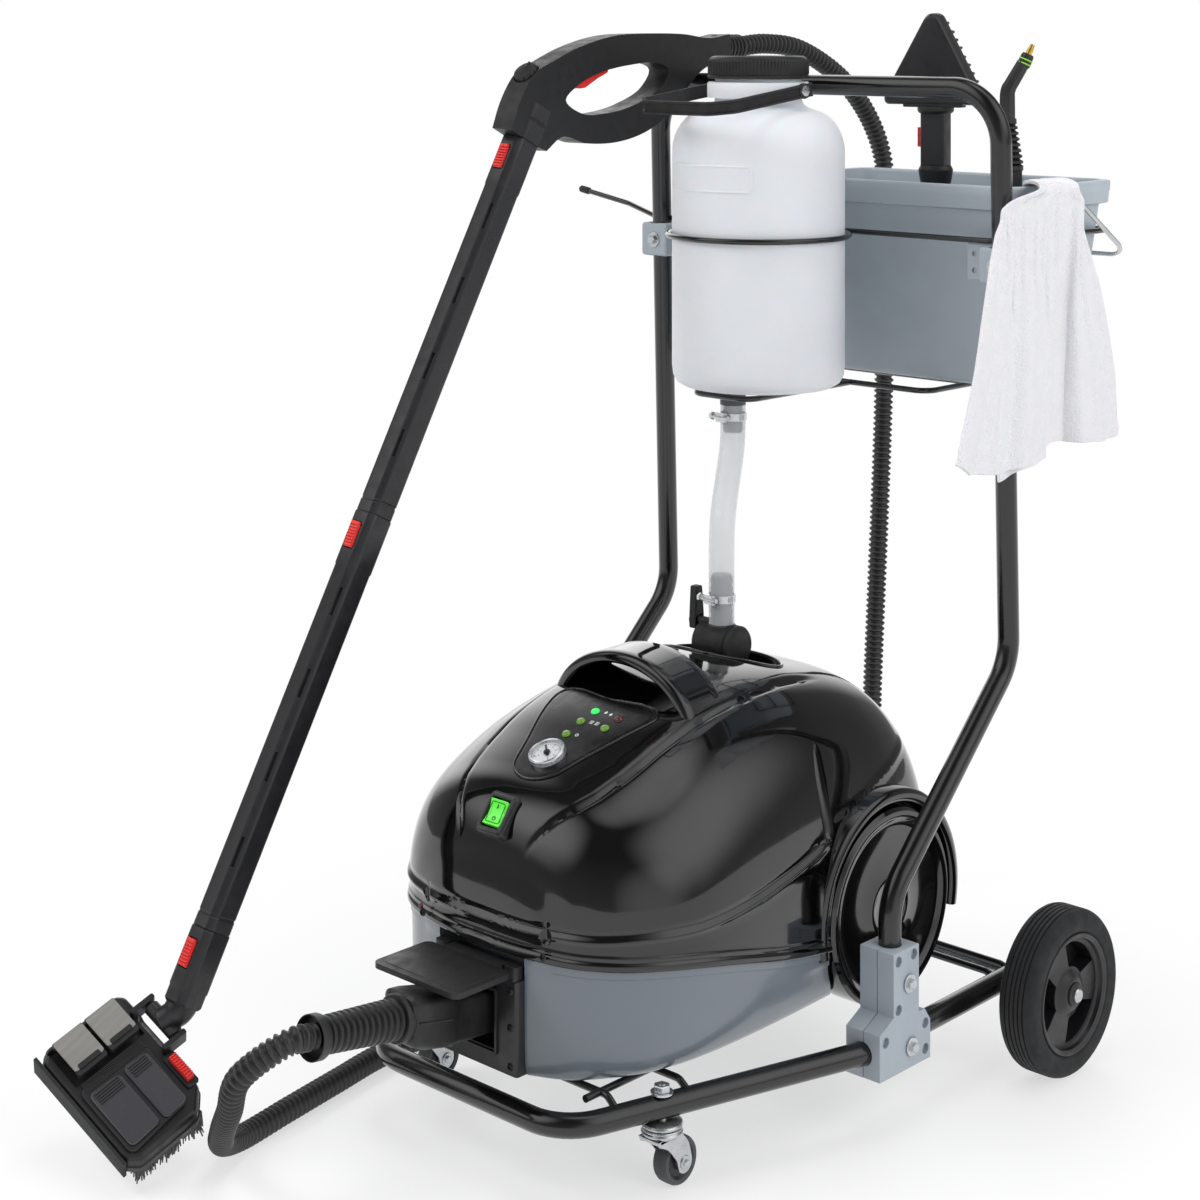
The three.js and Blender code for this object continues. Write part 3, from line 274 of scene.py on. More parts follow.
def hex_bolt(at, direction, flats=10, head=5):
    """A washer and a hexagonal head, standing on a surface."""
    r = flats / math.sqrt(3)
    washer = lathe([(0, 0), (flats * 0.95, 0), (flats, 0.4), (flats, 1.2), (flats * 0.95, 1.6), (0, 1.6)], 32)
    hexagon = circle(r, 6)
    rows = [np.column_stack([hexagon * s, np.full(6, z)]) for s, z in ((1, 1.6), (1, head + 0.6), (0.86, head + 1.6))]
    return aim(combine(washer, skin(rows)), at, direction)


def screw(at, direction, radius=4):
    """A domed head with a cross recess."""
    rows = []
    ring = circle(1, 48)
    for share in (1, 1, 0.94, 0.85, 0.72, 0.6, 0.5, 0.4, 0.3, 0.2, 0.1):
        r = ring * radius * share
        z = 0.55 * radius * (1 - share ** 2.5) + (0 if len(rows) < 1 else 0.3)
        arm = np.min(np.abs(r), axis=1) < radius * 0.16
        deep = arm & (np.linalg.norm(r, axis=1) < radius * 0.65)
        rows.append(np.column_stack([r, np.where(deep, z - radius * 0.4, z)]))
    return aim(skin(rows), at, direction)


def ease(t):
    t = np.clip(t, 0, 1)
    return t * t * (3 - 2 * t)


# ---- Finishes ----
def linear(colour):
    """Linear RGBA of a colour written as hexadecimal sRGB."""
    parts = [(colour >> shift & 255) / 255 for shift in (16, 8, 0)]
    return [c / 12.92 if c <= 0.04045 else ((c + 0.055) / 1.055) ** 2.4 for c in parts] + [1.0]


def look(name, slot, colour, roughness, vary=0.12, patch=14, grain=900, bump=0.15, depth=0.08, scuff=0.1, edge=0.1,
         stretch=(1, 1, 1), **inputs):
    """A material with mottled colour, uneven roughness, lighter edges and a fine moulded or cast grain.

    patch and grain are noise scales per metre, depth is the grain's height in millimetres, and the other
    keywords set inputs of the shader, with underscores for spaces."""
    material = bpy.data.materials.new(name)
    material.use_nodes = True
    tree = material.node_tree
    shader = tree.nodes["Principled BSDF"]
    link = tree.links.new
    place = tree.nodes.new("ShaderNodeTexCoord")
    mapping = tree.nodes.new("ShaderNodeMapping")
    mapping.inputs["Scale"].default_value = stretch
    link(place.outputs["Object"], mapping.inputs["Vector"])

    def noise(scale, detail, low, high):
        source = tree.nodes.new("ShaderNodeTexNoise")
        source.inputs["Scale"].default_value = scale
        source.inputs["Detail"].default_value = detail
        link(mapping.outputs["Vector"], source.inputs["Vector"])
        return spread(source.outputs["Fac"], 0.3, 0.7, low, high)

    def spread(value, start, end, low, high):
        node = tree.nodes.new("ShaderNodeMapRange")
        link(value, node.inputs["Value"])
        for key, number in zip(("From Min", "From Max", "To Min", "To Max"), (start, end, low, high)):
            node.inputs[key].default_value = number
        return node.outputs["Result"]

    base = linear(colour)
    dark = [c * (1 - vary) for c in base[:3]] + [1.0]
    light = [min(1.0, c * (1 + vary)) for c in base[:3]] + [1.0]
    worn = [c + (1 - c) * 0.35 for c in base[:3]] + [1.0]
    geometry = tree.nodes.new("ShaderNodeNewGeometry")
    mottled = mix_rgba(tree, noise(patch, 4, 0, 1), dark, light)
    edges = spread(geometry.outputs["Pointiness"], 0.52, 0.62, 0, edge)
    link(mix_rgba(tree, edges, mottled, worn), shader.inputs["Base Color"])
    link(noise(patch * 5, 6, max(0.02, roughness - scuff), roughness + scuff), shader.inputs["Roughness"])
    bumps = tree.nodes.new("ShaderNodeBump")
    bumps.inputs["Strength"].default_value = bump
    bumps.inputs["Distance"].default_value = depth / 1000
    link(noise(grain, 3, 0, 1), bumps.inputs["Height"])
    link(bumps.outputs["Normal"], shader.inputs["Normal"])
    for key, value in inputs.items():
        shader.inputs[key.replace("_", " ")].default_value = value
    material["slot"] = slot
    return material


def mix_rgba(tree, factor, a, b):
    """A colour mixed from two colours or outputs by a factor output."""
    node = tree.nodes.new("ShaderNodeMix")
    node.data_type = "RGBA"
    tree.links.new(factor, node.inputs[0])
    for socket, value in ((node.inputs[6], a), (node.inputs[7], b)):
        if isinstance(value, list):
            socket.default_value = value
        else:
            tree.links.new(value, socket)
    return node.outputs[2]


LOOKS = {
    "paint": look("paint", "black_paint", 0x070708, 0.22, vary=0.05, grain=260, bump=0.05, scuff=0.03, edge=0.02,
                  Coat_Weight=0.5, Coat_Roughness=0.08),
    "gloss": look("gloss", "gloss_black", 0x040405, 0.09, vary=0.2, grain=70, bump=0.02, scuff=0.03, edge=0,
                  Coat_Weight=0.6, Coat_Roughness=0.03),
    "plastic": look("plastic", "black_plastic", 0x161618, 0.46, vary=0.06, grain=1500, bump=0.3, edge=0.06),
    "satin": look("satin", "black_plastic", 0x1B1B1E, 0.36, vary=0.06, grain=1500, bump=0.2, edge=0.06),
    "slate": look("slate", "black_plastic", 0x35353A, 0.34, vary=0.05, grain=1500, bump=0.15, edge=0.1),
    "panel": look("panel", "black_plastic", 0x0C0C0E, 0.25, vary=0.05, grain=1500, bump=0.1, edge=0.02),
    "soft": look("soft", "soft_black", 0x121214, 0.6, grain=1100, bump=0.3),
    "hose": look("hose", "hose_black", 0x1A1A1C, 0.38, grain=800, bump=0.15, scuff=0.05),
    "bristle": look("bristle", "bristle_black", 0x0A0A0B, 0.5, vary=0.4, patch=300, grain=2500, bump=0.4),
    "tub": look("tub", "grey_tub", 0x6A727A, 0.24, vary=0.02, patch=5, grain=500, bump=0.03,
                scuff=0.02, edge=0, Coat_Weight=0.4, Coat_Roughness=0.06),
    "bucket": look("bucket", "bucket_grey", 0xA9B3BB, 0.42, vary=0.05, grain=800, bump=0.2),
    "casting": look("casting", "bracket_grey", 0x9DA6AF, 0.5, vary=0.07, grain=600, bump=0.45, edge=0.3),
    "bottle": look("bottle", "white_bottle", 0xDCDFE4, 0.42, vary=0.02, grain=500, bump=0.15, edge=0,
                   Subsurface_Weight=0.35, Subsurface_Scale=0.012),
    "clear": look("clear", "clear_hose", 0xD6D9DC, 0.2, vary=0.04, grain=300, bump=0.1, edge=0, Alpha=0.5,
                  Coat_Weight=0.5),
    "barb": look("barb", "clear_hose", 0x4B4F54, 0.4, grain=900),
    "zinc": look("zinc", "zinc", 0xC3C6C8, 0.28, patch=60, grain=1200, bump=0.2, edge=0.3, Metallic=0.95),
    "tyre": look("tyre", "tyre", 0x202123, 0.8, grain=1300, bump=0.5, depth=0.15, edge=0.05),
    "castor": look("castor", "tyre", 0x3A3D40, 0.6, grain=1300, bump=0.35),
    "red": look("red", "red", 0xE3241B, 0.4, vary=0.06, grain=1200, bump=0.15, Subsurface_Weight=0.1,
                Subsurface_Scale=0.003),
    "green": look("green", "green", 0x52D838, 0.22, vary=0.08, edge=0, Coat_Weight=0.6,
                  Emission_Color=(0.12, 0.85, 0.05, 1), Emission_Strength=0.3),
    "green_line": look("green_line", "green", 0x0B4A12, 0.3, edge=0),
    "bezel": look("bezel", "dial", 0xD4D7DA, 0.2, patch=80, edge=0.2, Metallic=0.85),
    "dial": look("dial", "dial", 0xC9CBCD, 0.35, vary=0.02, edge=0),
    "stainless": look("stainless", "stainless", 0xA2A6A9, 0.28, stretch=(1, 40, 1), Metallic=1.0),
    "clip": look("clip", "clip_grey", 0x8B8984, 0.42, stretch=(20, 1, 1), edge=0.25, Metallic=0.35),
    "brass": look("brass", "zinc", 0xD9B45A, 0.22, patch=90, Metallic=1.0),
    "ring_green": look("ring_green", "green", 0x8FDC3C, 0.35, edge=0),
    "lamp_on": look("lamp_on", "green", 0x2BE35A, 0.2, edge=0, Emission_Color=(0.05, 0.9, 0.2, 1),
                    Emission_Strength=0.4, Coat_Weight=0.8),
    "lamp_off": look("lamp_off", "green", 0x4F7A1E, 0.2, edge=0, Coat_Weight=0.8, Emission_Color=(0.15, 0.3, 0.02, 1),
                     Emission_Strength=0.25),
    "lamp_red": look("lamp_red", "red", 0x4A0A0C, 0.2, edge=0, Coat_Weight=0.8),
    "mark": look("mark", "dial", 0xD9DBDD, 0.5, vary=0.03, edge=0),
    "ink": look("ink", "soft_black", 0x101012, 0.5, edge=0),
    "towel": look("towel", "towel", 0xEAEAEE, 0.95, vary=0.015, patch=60, grain=420, bump=0.9, depth=1.3, edge=0,
                  Sheen_Weight=0.2, Sheen_Roughness=0.5, Subsurface_Weight=0.12, Subsurface_Scale=0.004),
}


# ---- Making pieces ----
def to_mesh(name, shape):
    mesh = bpy.data.meshes.new(name)
    points = np.asarray(shape[0], float) / 1000 + np.array(HOME)
    mesh.from_pydata(points.tolist(), [], [list(map(int, face)) for face in shape[1]])
    work = bmesh.new()
    work.from_mesh(mesh)
    bmesh.ops.remove_doubles(work, verts=work.verts, dist=2e-6)
    bmesh.ops.dissolve_degenerate(work, edges=work.edges, dist=1e-7)
    bmesh.ops.recalc_face_normals(work, faces=work.faces)
    work.to_mesh(mesh)
    work.free()
    return mesh


def carve(obj, tools, operation="DIFFERENCE"):
    """Cuts tool shapes out of an object, which stays a plain mesh."""
    cutters = []
    for tool in tools:
        cutter = bpy.data.objects.new("cutter", to_mesh("cutter", tool))
        bpy.context.scene.collection.objects.link(cutter)
        modifier = obj.modifiers.new("cut", "BOOLEAN")
        modifier.operation = operation
        modifier.object = cutter
        modifier.solver = "EXACT"
        cutters.append(cutter)
    bpy.context.view_layer.update()
    result = bpy.data.meshes.new_from_object(obj.evaluated_get(bpy.context.evaluated_depsgraph_get()))
    obj.modifiers.clear()
    obj.data = result
    for cutter in cutters:
        bpy.data.objects.remove(cutter)


def make(name, shape, finish, body="trolley", node=None, cut=(), bevel=0, segments=3, subsurf=0, sharp=38):
    """One visible piece. node is the CAD node, or nodes, that it stands for; bevel is in millimetres."""
    obj = bpy.data.objects.new(name, to_mesh(name, shape))
    bpy.context.scene.collection.objects.link(obj)
    if cut:
        carve(obj, cut)
    obj.data.shade_smooth()
    if bevel:
        modifier = obj.modifiers.new("rounding", "BEVEL")
        modifier.width = bevel / 1000
        modifier.segments = segments
        modifier.limit_method = "ANGLE"
        modifier.angle_limit = math.radians(sharp - 8)
        modifier.harden_normals = True
    else:
        obj.data.set_sharp_from_angle(angle=math.radians(sharp))
    if subsurf:
        modifier = obj.modifiers.new("smooth", "SUBSURF")
        modifier.levels = modifier.render_levels = subsurf
    material = LOOKS[finish]
    obj.data.materials.clear()
    obj.data.materials.append(material)
    if node:
        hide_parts(*([node] if isinstance(node, str) else node))
    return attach(obj, body)


SIDES = (("left", -1), ("right", 1))


def on_side(shape, sign):
    return mirrored(shape) if sign < 0 else shape


# ---- Trolley ----
def rail_path():
    side = [(RAIL_X, 22, 94), (RAIL_X, -285, 91.5), (141, -625, 83)]
    return rounded(side + [(-x, y, z) for x, y, z in reversed(side)], 60)


def leg_path():
    side = [(-RAIL_X, -240, 106), (-RAIL_X, -240, 246), (-RAIL_X, -9, 459), (-RAIL_X, -27, 1121)]
    return rounded(side + [(-x, y, z) for x, y, z in reversed(side)], 65, 4)


def cross_rod(y, half):
    level = TUB_Z - 0.3 - WIRE_R
    dip = np.interp(y, (-625, -285, 22), (83, 91.5, 94)) + 6
    side = [(-half, y, dip), (14 - half, y, level)]
    return rod(side + [(-x, a, z) for x, a, z in reversed(side)], WIRE_R, 12)


def trolley():
    make("rail_tube", tube(rail_path(), TUBE_R, 32), "paint", node="base_frame")
    level = TUB_Z - 0.3 - WIRE_R
    rack = [cross_rod(-566, 162), cross_rod(-487, 190), cross_rod(-34, RAIL_X - 2), cross_rod(-4, RAIL_X - 2)]
    rack += [rod([(x, -588, level), (x, 12, level)], WIRE_R, 10) for x in (-138, 138)]
    make("rack_rods", combine(*rack), "paint")
    plug = lathe([(0, 0), (11, 0), (12.6, 0.4), (12.6, 2.6), (11, 4.4), (6, 5.6), (0, 6)], 32)
    plugs = [aim(plug, (x, 21, 94), (0, 1, 0)) for x in (-RAIL_X, RAIL_X)]
    make("rail_plugs", combine(*plugs), "plastic")
    make("handle_tube", tube(leg_path(), TUBE_R, 32), "paint", node="handle_frame")
    axle = lathe([(0, 0), (6.5, 0), (8, 1.5), (8, 702.5), (6.5, 704), (0, 704)], 40)
    washers = [lathe([(8, z), (13, z), (13, z + 1.6), (8, z + 1.6), (8, z)], 32) for z in (50, 652.4)]
    make("wheel_axle", aim(combine(axle, *washers), (-352, 0, WHEEL_R), (1, 0, 0)), "zinc", node="rear_axle")


def bracket(name, sign, outer):
    low, high = (RAIL_X + 0.3, RAIL_X + 22.5) if outer else (RAIL_X - 22.5, RAIL_X - 0.3)
    outline = [(-288, 66), (-196, 66), (-196, 108), (-206, 122), (-217, 122), (-217, 196), (-263, 196), (-263, 128),
               (-288, 116)]
    face, inward = (high, -1) if outer else (low, 1)
    holes = [(-254, 186), (-254, 134), (-226, 187), (-277, 106), (-205, 106), (-205, 78)]
    tools = [aim(lathe([(0, 0), (3.4, 0), (3.4, 8), (5.6, 8), (5.6, 20), (0, 20)], 20),
                 (face + inward * 14, y, z), (-inward, 0, 0)) for y, z in holes]
    pads = [aim(lathe([(0, -4), (9, -4), (9, 0.4), (8, 1.2), (0, 1.2)], 32), (face, y, z), (-inward, 0, 0))
            for y, z in ((-236, 158.5), (-232, 89))]
    body = standing(outline, low, high)
    tubes = [tube(path, TUBE_R + 0.25, 20) for path in (rail_path(), leg_path())]
    tools = [on_side(tool, sign) for tool in tools] + tubes
    side = "right" if sign > 0 else "left"
    make(name, on_side(body, sign), "casting", node=f"{side}_bracket_{'outer' if outer else 'inner'}", cut=tools,
         bevel=2.2, segments=3)
    make(name + "_pads", on_side(combine(*pads), sign), "casting")


def brackets():
    for side, sign in SIDES:
        bracket(f"{side}_clamp_outer", sign, True)
        bracket(f"{side}_clamp_inner", sign, False)
        bolts = []
        for y, z in ((-236, 158.5), (-232, 89)):
            bolts.append(hex_bolt((RAIL_X + 23.7, y, z), (1, 0, 0)))
            bolts.append(hex_bolt((RAIL_X - 23.7, y, z), (-1, 0, 0), 10, 4))
        make(f"{side}_clamp_bolts", on_side(combine(*bolts), sign), "zinc")


def rear_wheel(side, sign):
    tread = []
    for g in (12.5, 18.5, 24, 29.5, 35.5):
        tread += [(93, g - 1.1), (91.4, g - 0.8), (91.4, g + 0.8), (93, g + 1.1)]
    shoulder = [(68, 4), (71, 1.4), (76, 0.6), (83, 0.4), (86.5, 1.4), (89.6, 3.6), (91.8, 6.6), (92.8, 9.6)]
    tyre = shoulder + tread + [(r, 48 - x) for r, x in reversed(shoulder)] + [shoulder[0]]
    hub = [(8.6, 3), (20, 3), (24, 6), (60, 8), (64, 3), (67.7, 3), (67.7, 45), (66, 46.4), (63.5, 45), (61, 39),
           (58, 37), (30, 37), (24, 39), (19, 43.5), (15, 45), (8.6, 45), (8.6, 3)]
    crescents = []
    for k in range(3):
        outline = np.vstack([circle(56, 14, 24 + 120 * k, 72), circle(29, 10, 88 + 120 * k, -56)])
        crescents.append(prism(outline, 16, 60))
    rim = [lathe([(61.5, 44), (64.5, 46), (67, 46), (67, 44), (61.5, 44)], 72)]
    cap = lathe([(0, 44), (12, 44), (13.5, 45), (13.5, 47), (12, 48.2), (6, 48.8), (0, 49)], 40)

    def at_wheel(shape):
        return on_side(shifted(along_x(shape), WHEEL_INNER, 0, WHEEL_R), sign)

    body = f"{side}_wheel"
    make(f"{side}_tyre_rubber", at_wheel(lathe(tyre, 96)), "tyre", body, f"{side}_tyre", sharp=30)
    make(f"{side}_hub_moulding", at_wheel(lathe(hub, 96)), "satin", body, f"{side}_hub",
         cut=[at_wheel(c) for c in crescents], bevel=1.2, segments=2)
    make(f"{side}_hub_cap", at_wheel(combine(cap, *rim)), "plastic", body)


def castor(side, sign):
    def at_castor(shape):
        return shifted(shape, sign * CASTOR.x, CASTOR.y, 0)

    thread = [(0, 66)]
    for k in range(11):
        z = 96 + 1.2 * k
        thread += [(4.9, z), (4.3, z + 0.6)]
    mount = [lathe([(0, 65.8), (18, 65.8), (21, 67), (22, 69), (21, 71), (18, 72.2), (5, 72.4), (5, 96), (0, 96)], 48),
             lathe(thread[1:] + [(0, 109)], 24), lathe([(4, 98.8), (12, 98.8), (12, 100.6), (4, 100.6), (4, 98.8)], 32),
             shifted(skin([np.column_stack([circle(9 * s, 6, 12), np.full(6, z)])
                           for s, z in ((0.9, 0), (1, 0.8), (1, 6), (0.88, 7))]), 0, 0, 100.6)]
    make(f"{side}_castor_stem", at_castor(combine(*mount)), "zinc", node=f"{side}_castor_mount")
    race = lathe([(0, 56), (14, 56), (19, 57), (21.6, 59.5), (22, 61.5), (20.4, 63.2), (21, 64), (20, 65.3), (0, 65.3)], 48)
    cheek = [(-21, 58), (15, 58)] + spline([(15, 58), (26, 44), (30, 31)], 8)[1:].tolist()
    cheek += [(20 + u, 25 + v) for u, v in circle(11, 12, 10, -150)]
    cheek += spline([(8, 30), (-6, 46), (-18, 52)], 6).tolist()
    half = 10 + 1.5
    cheeks = [standing(cheek, x0, x0 + 2.6) for x0 in (half, -half - 2.6)]
    crown = soft_box((-half - 2.6, half + 2.6), (-21, 15), (54.5, 58), 4)
    ends = [aim(hex_bolt((0, 0, 0), (0, 0, 1), 7, 2.6), (s * (half + 2.4), CASTOR_TRAIL, 25), (s, 0, 0)) for s in (1, -1)]
    make(f"{side}_fork_sheet", at_castor(combine(race, crown, *cheeks)), "zinc", f"{side}_castor_fork",
         f"{side}_castor_fork", bevel=0.7, segments=2)
    pin = bar((-16, CASTOR_TRAIL, 25), (16, CASTOR_TRAIL, 25), 3)
    make(f"{side}_fork_pin", at_castor(combine(pin, *ends)), "zinc", f"{side}_castor_fork")

    tyre = [(19, -8.6), (21.5, -9.6), (23.6, -9), (24.8, -6.4), (25, -2), (25, 2), (24.8, 6.4), (23.6, 9), (21.5, 9.6),
            (19, 8.6), (19, -8.6)]
    hub = [(3.6, -10), (8, -10), (9, -8), (16, -6.4), (18.8, -8.4), (19, 0), (18.8, 8.4), (16, 6.4), (9, 8), (8, 10),
           (3.6, 10), (3.6, -10)]
    roll = f"{side}_castor_wheel"

    def at_roll(shape):
        return at_castor(shifted(along_x(shape), 0, CASTOR_TRAIL, 25))

    make(f"{side}_castor_tyre", at_roll(lathe(tyre, 64)), "castor", roll, roll)
    make(f"{side}_castor_hub", at_roll(lathe(hub, 48)), "satin", roll)


# ---- Holder for the bottle and the bucket ----
def holder():
    left, right, back = -127, 249, 237

    def wire(corners, bend=20):
        return rod(corners, HOLDER_R, bend)

    front = wire([(-460, 30, RING_Z + 28), (-370, 30, RING_Z + 12), (-300, 6, RING_Z), (-240, -4, RING_Z),
                  (right, -4, RING_Z), (right, back, RING_Z), (left, back, RING_Z), (left, -2, RING_Z)])
    loop = circle(BOTTLE_R + 5, 72)
    ring = tube([(BOTTLE.x + u, BOTTLE.y + v, RING_Z) for u, v in loop], HOLDER_R, 12, wrap=True)
    cradle = wire([(23, 8, SHELF_Z), (23, -191, SHELF_Z), (-67, -191, SHELF_Z), (-67, 8, SHELF_Z)])
    shelf = wire([(left - 2, 6, SHELF_Z), (137, 6, SHELF_Z), (137, back, SHELF_Z), (0, back, SHELF_Z)])
    middle = wire([(left - 2, 105, SHELF_Z), (139, 105, SHELF_Z)])
    side = wire([(left, 0, RING_Z), (left, 0, SHELF_Z - 1), (left, back, SHELF_Z - 1), (left, back, RING_Z)], 12)
    rear = wire([(left - 2, back, SHELF_Z), (120, back, SHELF_Z), (120, back, RING_Z)], 12)
    make("holder_wires", combine(front, ring, cradle, shelf, middle, side, rear), "paint", node="holder_frame")
    cap = lathe([(0, -1), (3, -0.6), (4.6, 1.4), (4.8, 4), (4.8, 16), (4.2, 17), (0, 17)], 24)
    make("hook_cap", aim(cap, (-460, 30, RING_Z + 28), (90, 0, -16)), "soft")


def holder_clamps():
    for side, sign in SIDES:
        saddle = box((RAIL_X - 22, RAIL_X + 22), (-39, 4), (895, 937.8))
        flange = box((RAIL_X - 62, RAIL_X - 18), (-3, 1), (895, 937.8))
        tools = [tube(leg_path(), TUBE_R + 0.25, 20)]
        holes = [on_side(bar((RAIL_X - 52, -10, z), (RAIL_X - 52, 10, z), 3, 20), sign) for z in (906, 926)]
        make(f"{side}_saddle", on_side(saddle, sign), "casting", node=f"{side}_holder_clamp", cut=tools, bevel=4,
             segments=4)
        make(f"{side}_flange", on_side(flange, sign), "casting", cut=holes, bevel=1, segments=2)
        bolts = [hex_bolt((RAIL_X, -39, 916), (0, -1, 0)), hex_bolt((RAIL_X, 4, 916), (0, 1, 0), 10, 4)]
        make(f"{side}_saddle_bolts", on_side(combine(*bolts), sign), "zinc")


# ---- Bottle ----
def bottle():
    waist = [(0, 761), (60, 761), (80, 760), (90, 761.6), (98, 766), (102.6, 774), (104, 786), (104, 860)]
    rows = waist + [(104, z) for z in np.arange(864, 1040, 1.5)]
    rows += spline([(104, 1040), (103.4, 1050), (99.5, 1064), (92, 1077), (83, 1086), (72, 1091), (60, 1095),
                    (54, 1100), (52.3, 1106)], 26).tolist()
    rows += [(52.3, 1107), (61, 1107), (61.6, 1108), (61.6, 1124), (60, 1126), (52.3, 1126), (52.3, 1150), (0, 1150)]
    sides = 400
    ring = circle(1, sides, -90)
    skins = []
    for r, z in rows:
        around = np.degrees(np.arctan2(ring[:, 0], -ring[:, 1]))
        inside = 1 - ease((np.maximum(np.abs(around) - 33, 0) ** 2 * 3.2 + np.maximum(abs(z - 1014) - 11, 0) ** 2 - 9) / 12)
        edge = inside * (1 - inside) * 4
        raised = (0.5 * inside + 1.6 * edge) if r > 100 else 0
        skins.append(np.column_stack([ring * (r + np.reshape(raised, (-1, 1))), np.full(sides, z)]))
    spout = [(11.5, 704), (11.5, 707), (12.4, 708.4), (11.2, 711), (12.4, 713), (11.2, 716), (12.4, 718), (11.5, 721),
             (11.5, 736), (15.6, 737), (15.6, 749), (19, 751), (19, 760.5), (0, 760.5)]
    make("bottle_shell", shifted(skin(skins), BOTTLE.x, BOTTLE.y, 0), "bottle", node="water_bottle", sharp=50)
    make("bottle_spout", shifted(lathe([(0, 704)] + spout, 48), SPOUT.x, SPOUT.y, 0), "barb")
    pins = [aim(lathe([(0, 0), (4, 0), (4, 16), (6.4, 16), (6.8, 17), (6.2, 18.6), (0, 19.4)], 32),
                (BOTTLE.x + s * 55, BOTTLE.y, 1116), (s, 0, 0)) for s in (1, -1)]
    make("bail_rivets", combine(*pins), "zinc")


def bottle_cap():
    sides = 360
    ring = circle(1, sides)
    knurl = np.abs(np.sin(np.radians(np.linspace(0, 360 * 45, sides, endpoint=False)))) * 1.1
    rows = []
    for r, z, share in ((54, 1130, 0), (60.6, 1130, 0), (61.5, 1130.8, 0), (61.5, 1133.6, 0), (60.2, 1134.4, 0),
                        (60, 1136, 1), (60, 1150, 1), (59.4, 1152, 1), (58.4, 1154, 0), (56.6, 1156, 0),
                        (54, 1157, 0), (46, 1157, 0), (44.6, 1155.8, 0), (0, 1155.8, 0)):
        radius = r + np.reshape(knurl * share, (-1, 1)) * 1.0
        rows.append(np.column_stack([ring * radius, np.full(sides, z)]))
    make("cap_knurled", shifted(skin(rows), BOTTLE.x, BOTTLE.y, 0), "plastic", "bottle_cap", "bottle_cap", sharp=50)


def bottle_bail():
    path = rounded([(70, 14, 0), (70, -128, 0), (50, -150, 0), (-50, -150, 0), (-70, -128, 0), (-70, 14, 0)], 16)
    strap = [(-2, -8), (2.6, -8), (2.6, -5.6), (0.8, -4.8), (0.8, 4.8), (2.6, 5.6), (2.6, 8), (-2, 8)]
    eyes = [aim(lathe([(4.6, -2.6), (9, -2.6), (9.4, -2), (9.4, 2), (9, 2.6), (4.6, 2.6), (4.6, -2.6)], 40),
                (s * 69.6, 0, 0), (1, 0, 0)) for s in (1, -1)]
    turn = Matrix.Translation((BOTTLE.x, BOTTLE.y, 1116)) @ Matrix.Rotation(math.radians(7), 4, "X")
    strip = sweep(path, np.array(strap) * (1, 1), up=(0, 0, 1))
    make("bail_strap", placed(combine(strip, *eyes), turn), "soft", "bottle_bail", "bottle_bail", bevel=0.5, segments=2)


def feed_line():
    path = rounded([(SPOUT.x, SPOUT.y, 738), (SPOUT.x, SPOUT.y, 690), (VALVE.x, VALVE.y, 610), (VALVE.x, VALVE.y, 490)],
                   90, 3)
    make("feed_tube", tube(path, 15.2, 40), "clear", node="feed_hose")
    barb = [(0, 480), (15.8, 480), (15.8, 488)]
    for k in range(6):
        barb += [(12.4, 492 + 9 * k), (13.4, 493 + 9 * k), (13.4, 496 + 9 * k), (12.4, 499 + 9 * k)]
    make("feed_barb", shifted(lathe(barb + [(11, 547), (0, 547)], 40), VALVE.x, VALVE.y, 0), "barb")
    clamps = []
    for x, y, z in ((SPOUT.x, SPOUT.y, 723), (VALVE.x, VALVE.y, 520)):
        band = lathe([(15.3, -4.5), (16.6, -4.5), (16.6, 4.5), (15.3, 4.5), (15.3, -4.5)], 48)
        ribs = [box((15.6, 17.1), (-3.4 + 1.5 * k, -2.7 + 1.5 * k), (-3.2, 3.2)) for k in range(5)]
        housing = soft_box((-8, 8), (-21.5, -15.5), (-5.5, 5.5), 1.5)
        worm = bar((-15, -19, 0), (13, -19, 0), 3.2)
        head = aim(lathe([(0, 0), (4.6, 0), (5, 0.8), (5, 4), (4, 5), (0, 5)], 6), (-18, -19, 0), (1, 0, 0))
        clamp = combine(band, housing, worm, head, *ribs)
        clamps.append(placed(clamp, Matrix.Translation((x, y, z)) @ Matrix.Rotation(math.radians(-10), 4, "Z")))
    make("worm_clamps", combine(*clamps), "zinc")


def feed_valve():
    x, y, z = VALVE
    body = lathe([(0, -28), (20, -28), (23, -27), (24, -24), (24, 19), (23.2, 20), (23.2, 21), (24, 22), (24, 25), (22.6, 27),
                  (21, 27.4), (0, 27.4)], 72)
    collar = lathe([(0, 405), (13, 405), (13, 424), (22, 426), (24, 429), (24, 433), (22, 436), (15, 438), (13, 444),
                    (13, 462), (0, 462)], 56)
    neck = lathe([(0, 462), (15, 462), (15, 483), (16.6, 484), (16.6, 488), (14, 489), (0, 489)], 48)
    pieces = [shifted(along_x(body), x, y, z), shifted(collar, x, y, 0), shifted(neck, x, y, 0),
              bar((-56, y, z + 22), (x, y, z + 22), 5)]
    make("valve_body", combine(*pieces), "soft", node="feed_valve", sharp=30)
    disc = lathe([(0, 437), (26, 437), (27.5, 438), (27.5, 440), (26, 441), (0, 441)], 56)
    make("valve_washer", shifted(disc, x, y, 0), "mark")
    lever = standing([(y - 8, z + 12), (y + 8, z + 12), (y + 8, z + 30), (y + 5, z + 62), (y - 6, z + 62), (y - 8, z + 30)],
                     -56.5, -45.5)
    hole = bar((-60, y, z + 22), (-40, y, z + 22), 5.6)
    make("lever_arm", lever, "soft", "valve_lever", "valve_lever", cut=[hole], bevel=2)
    make("lever_screw", screw((-56.4, y, z + 52), (-1, 0, 0), 3.6), "zinc", "valve_lever")


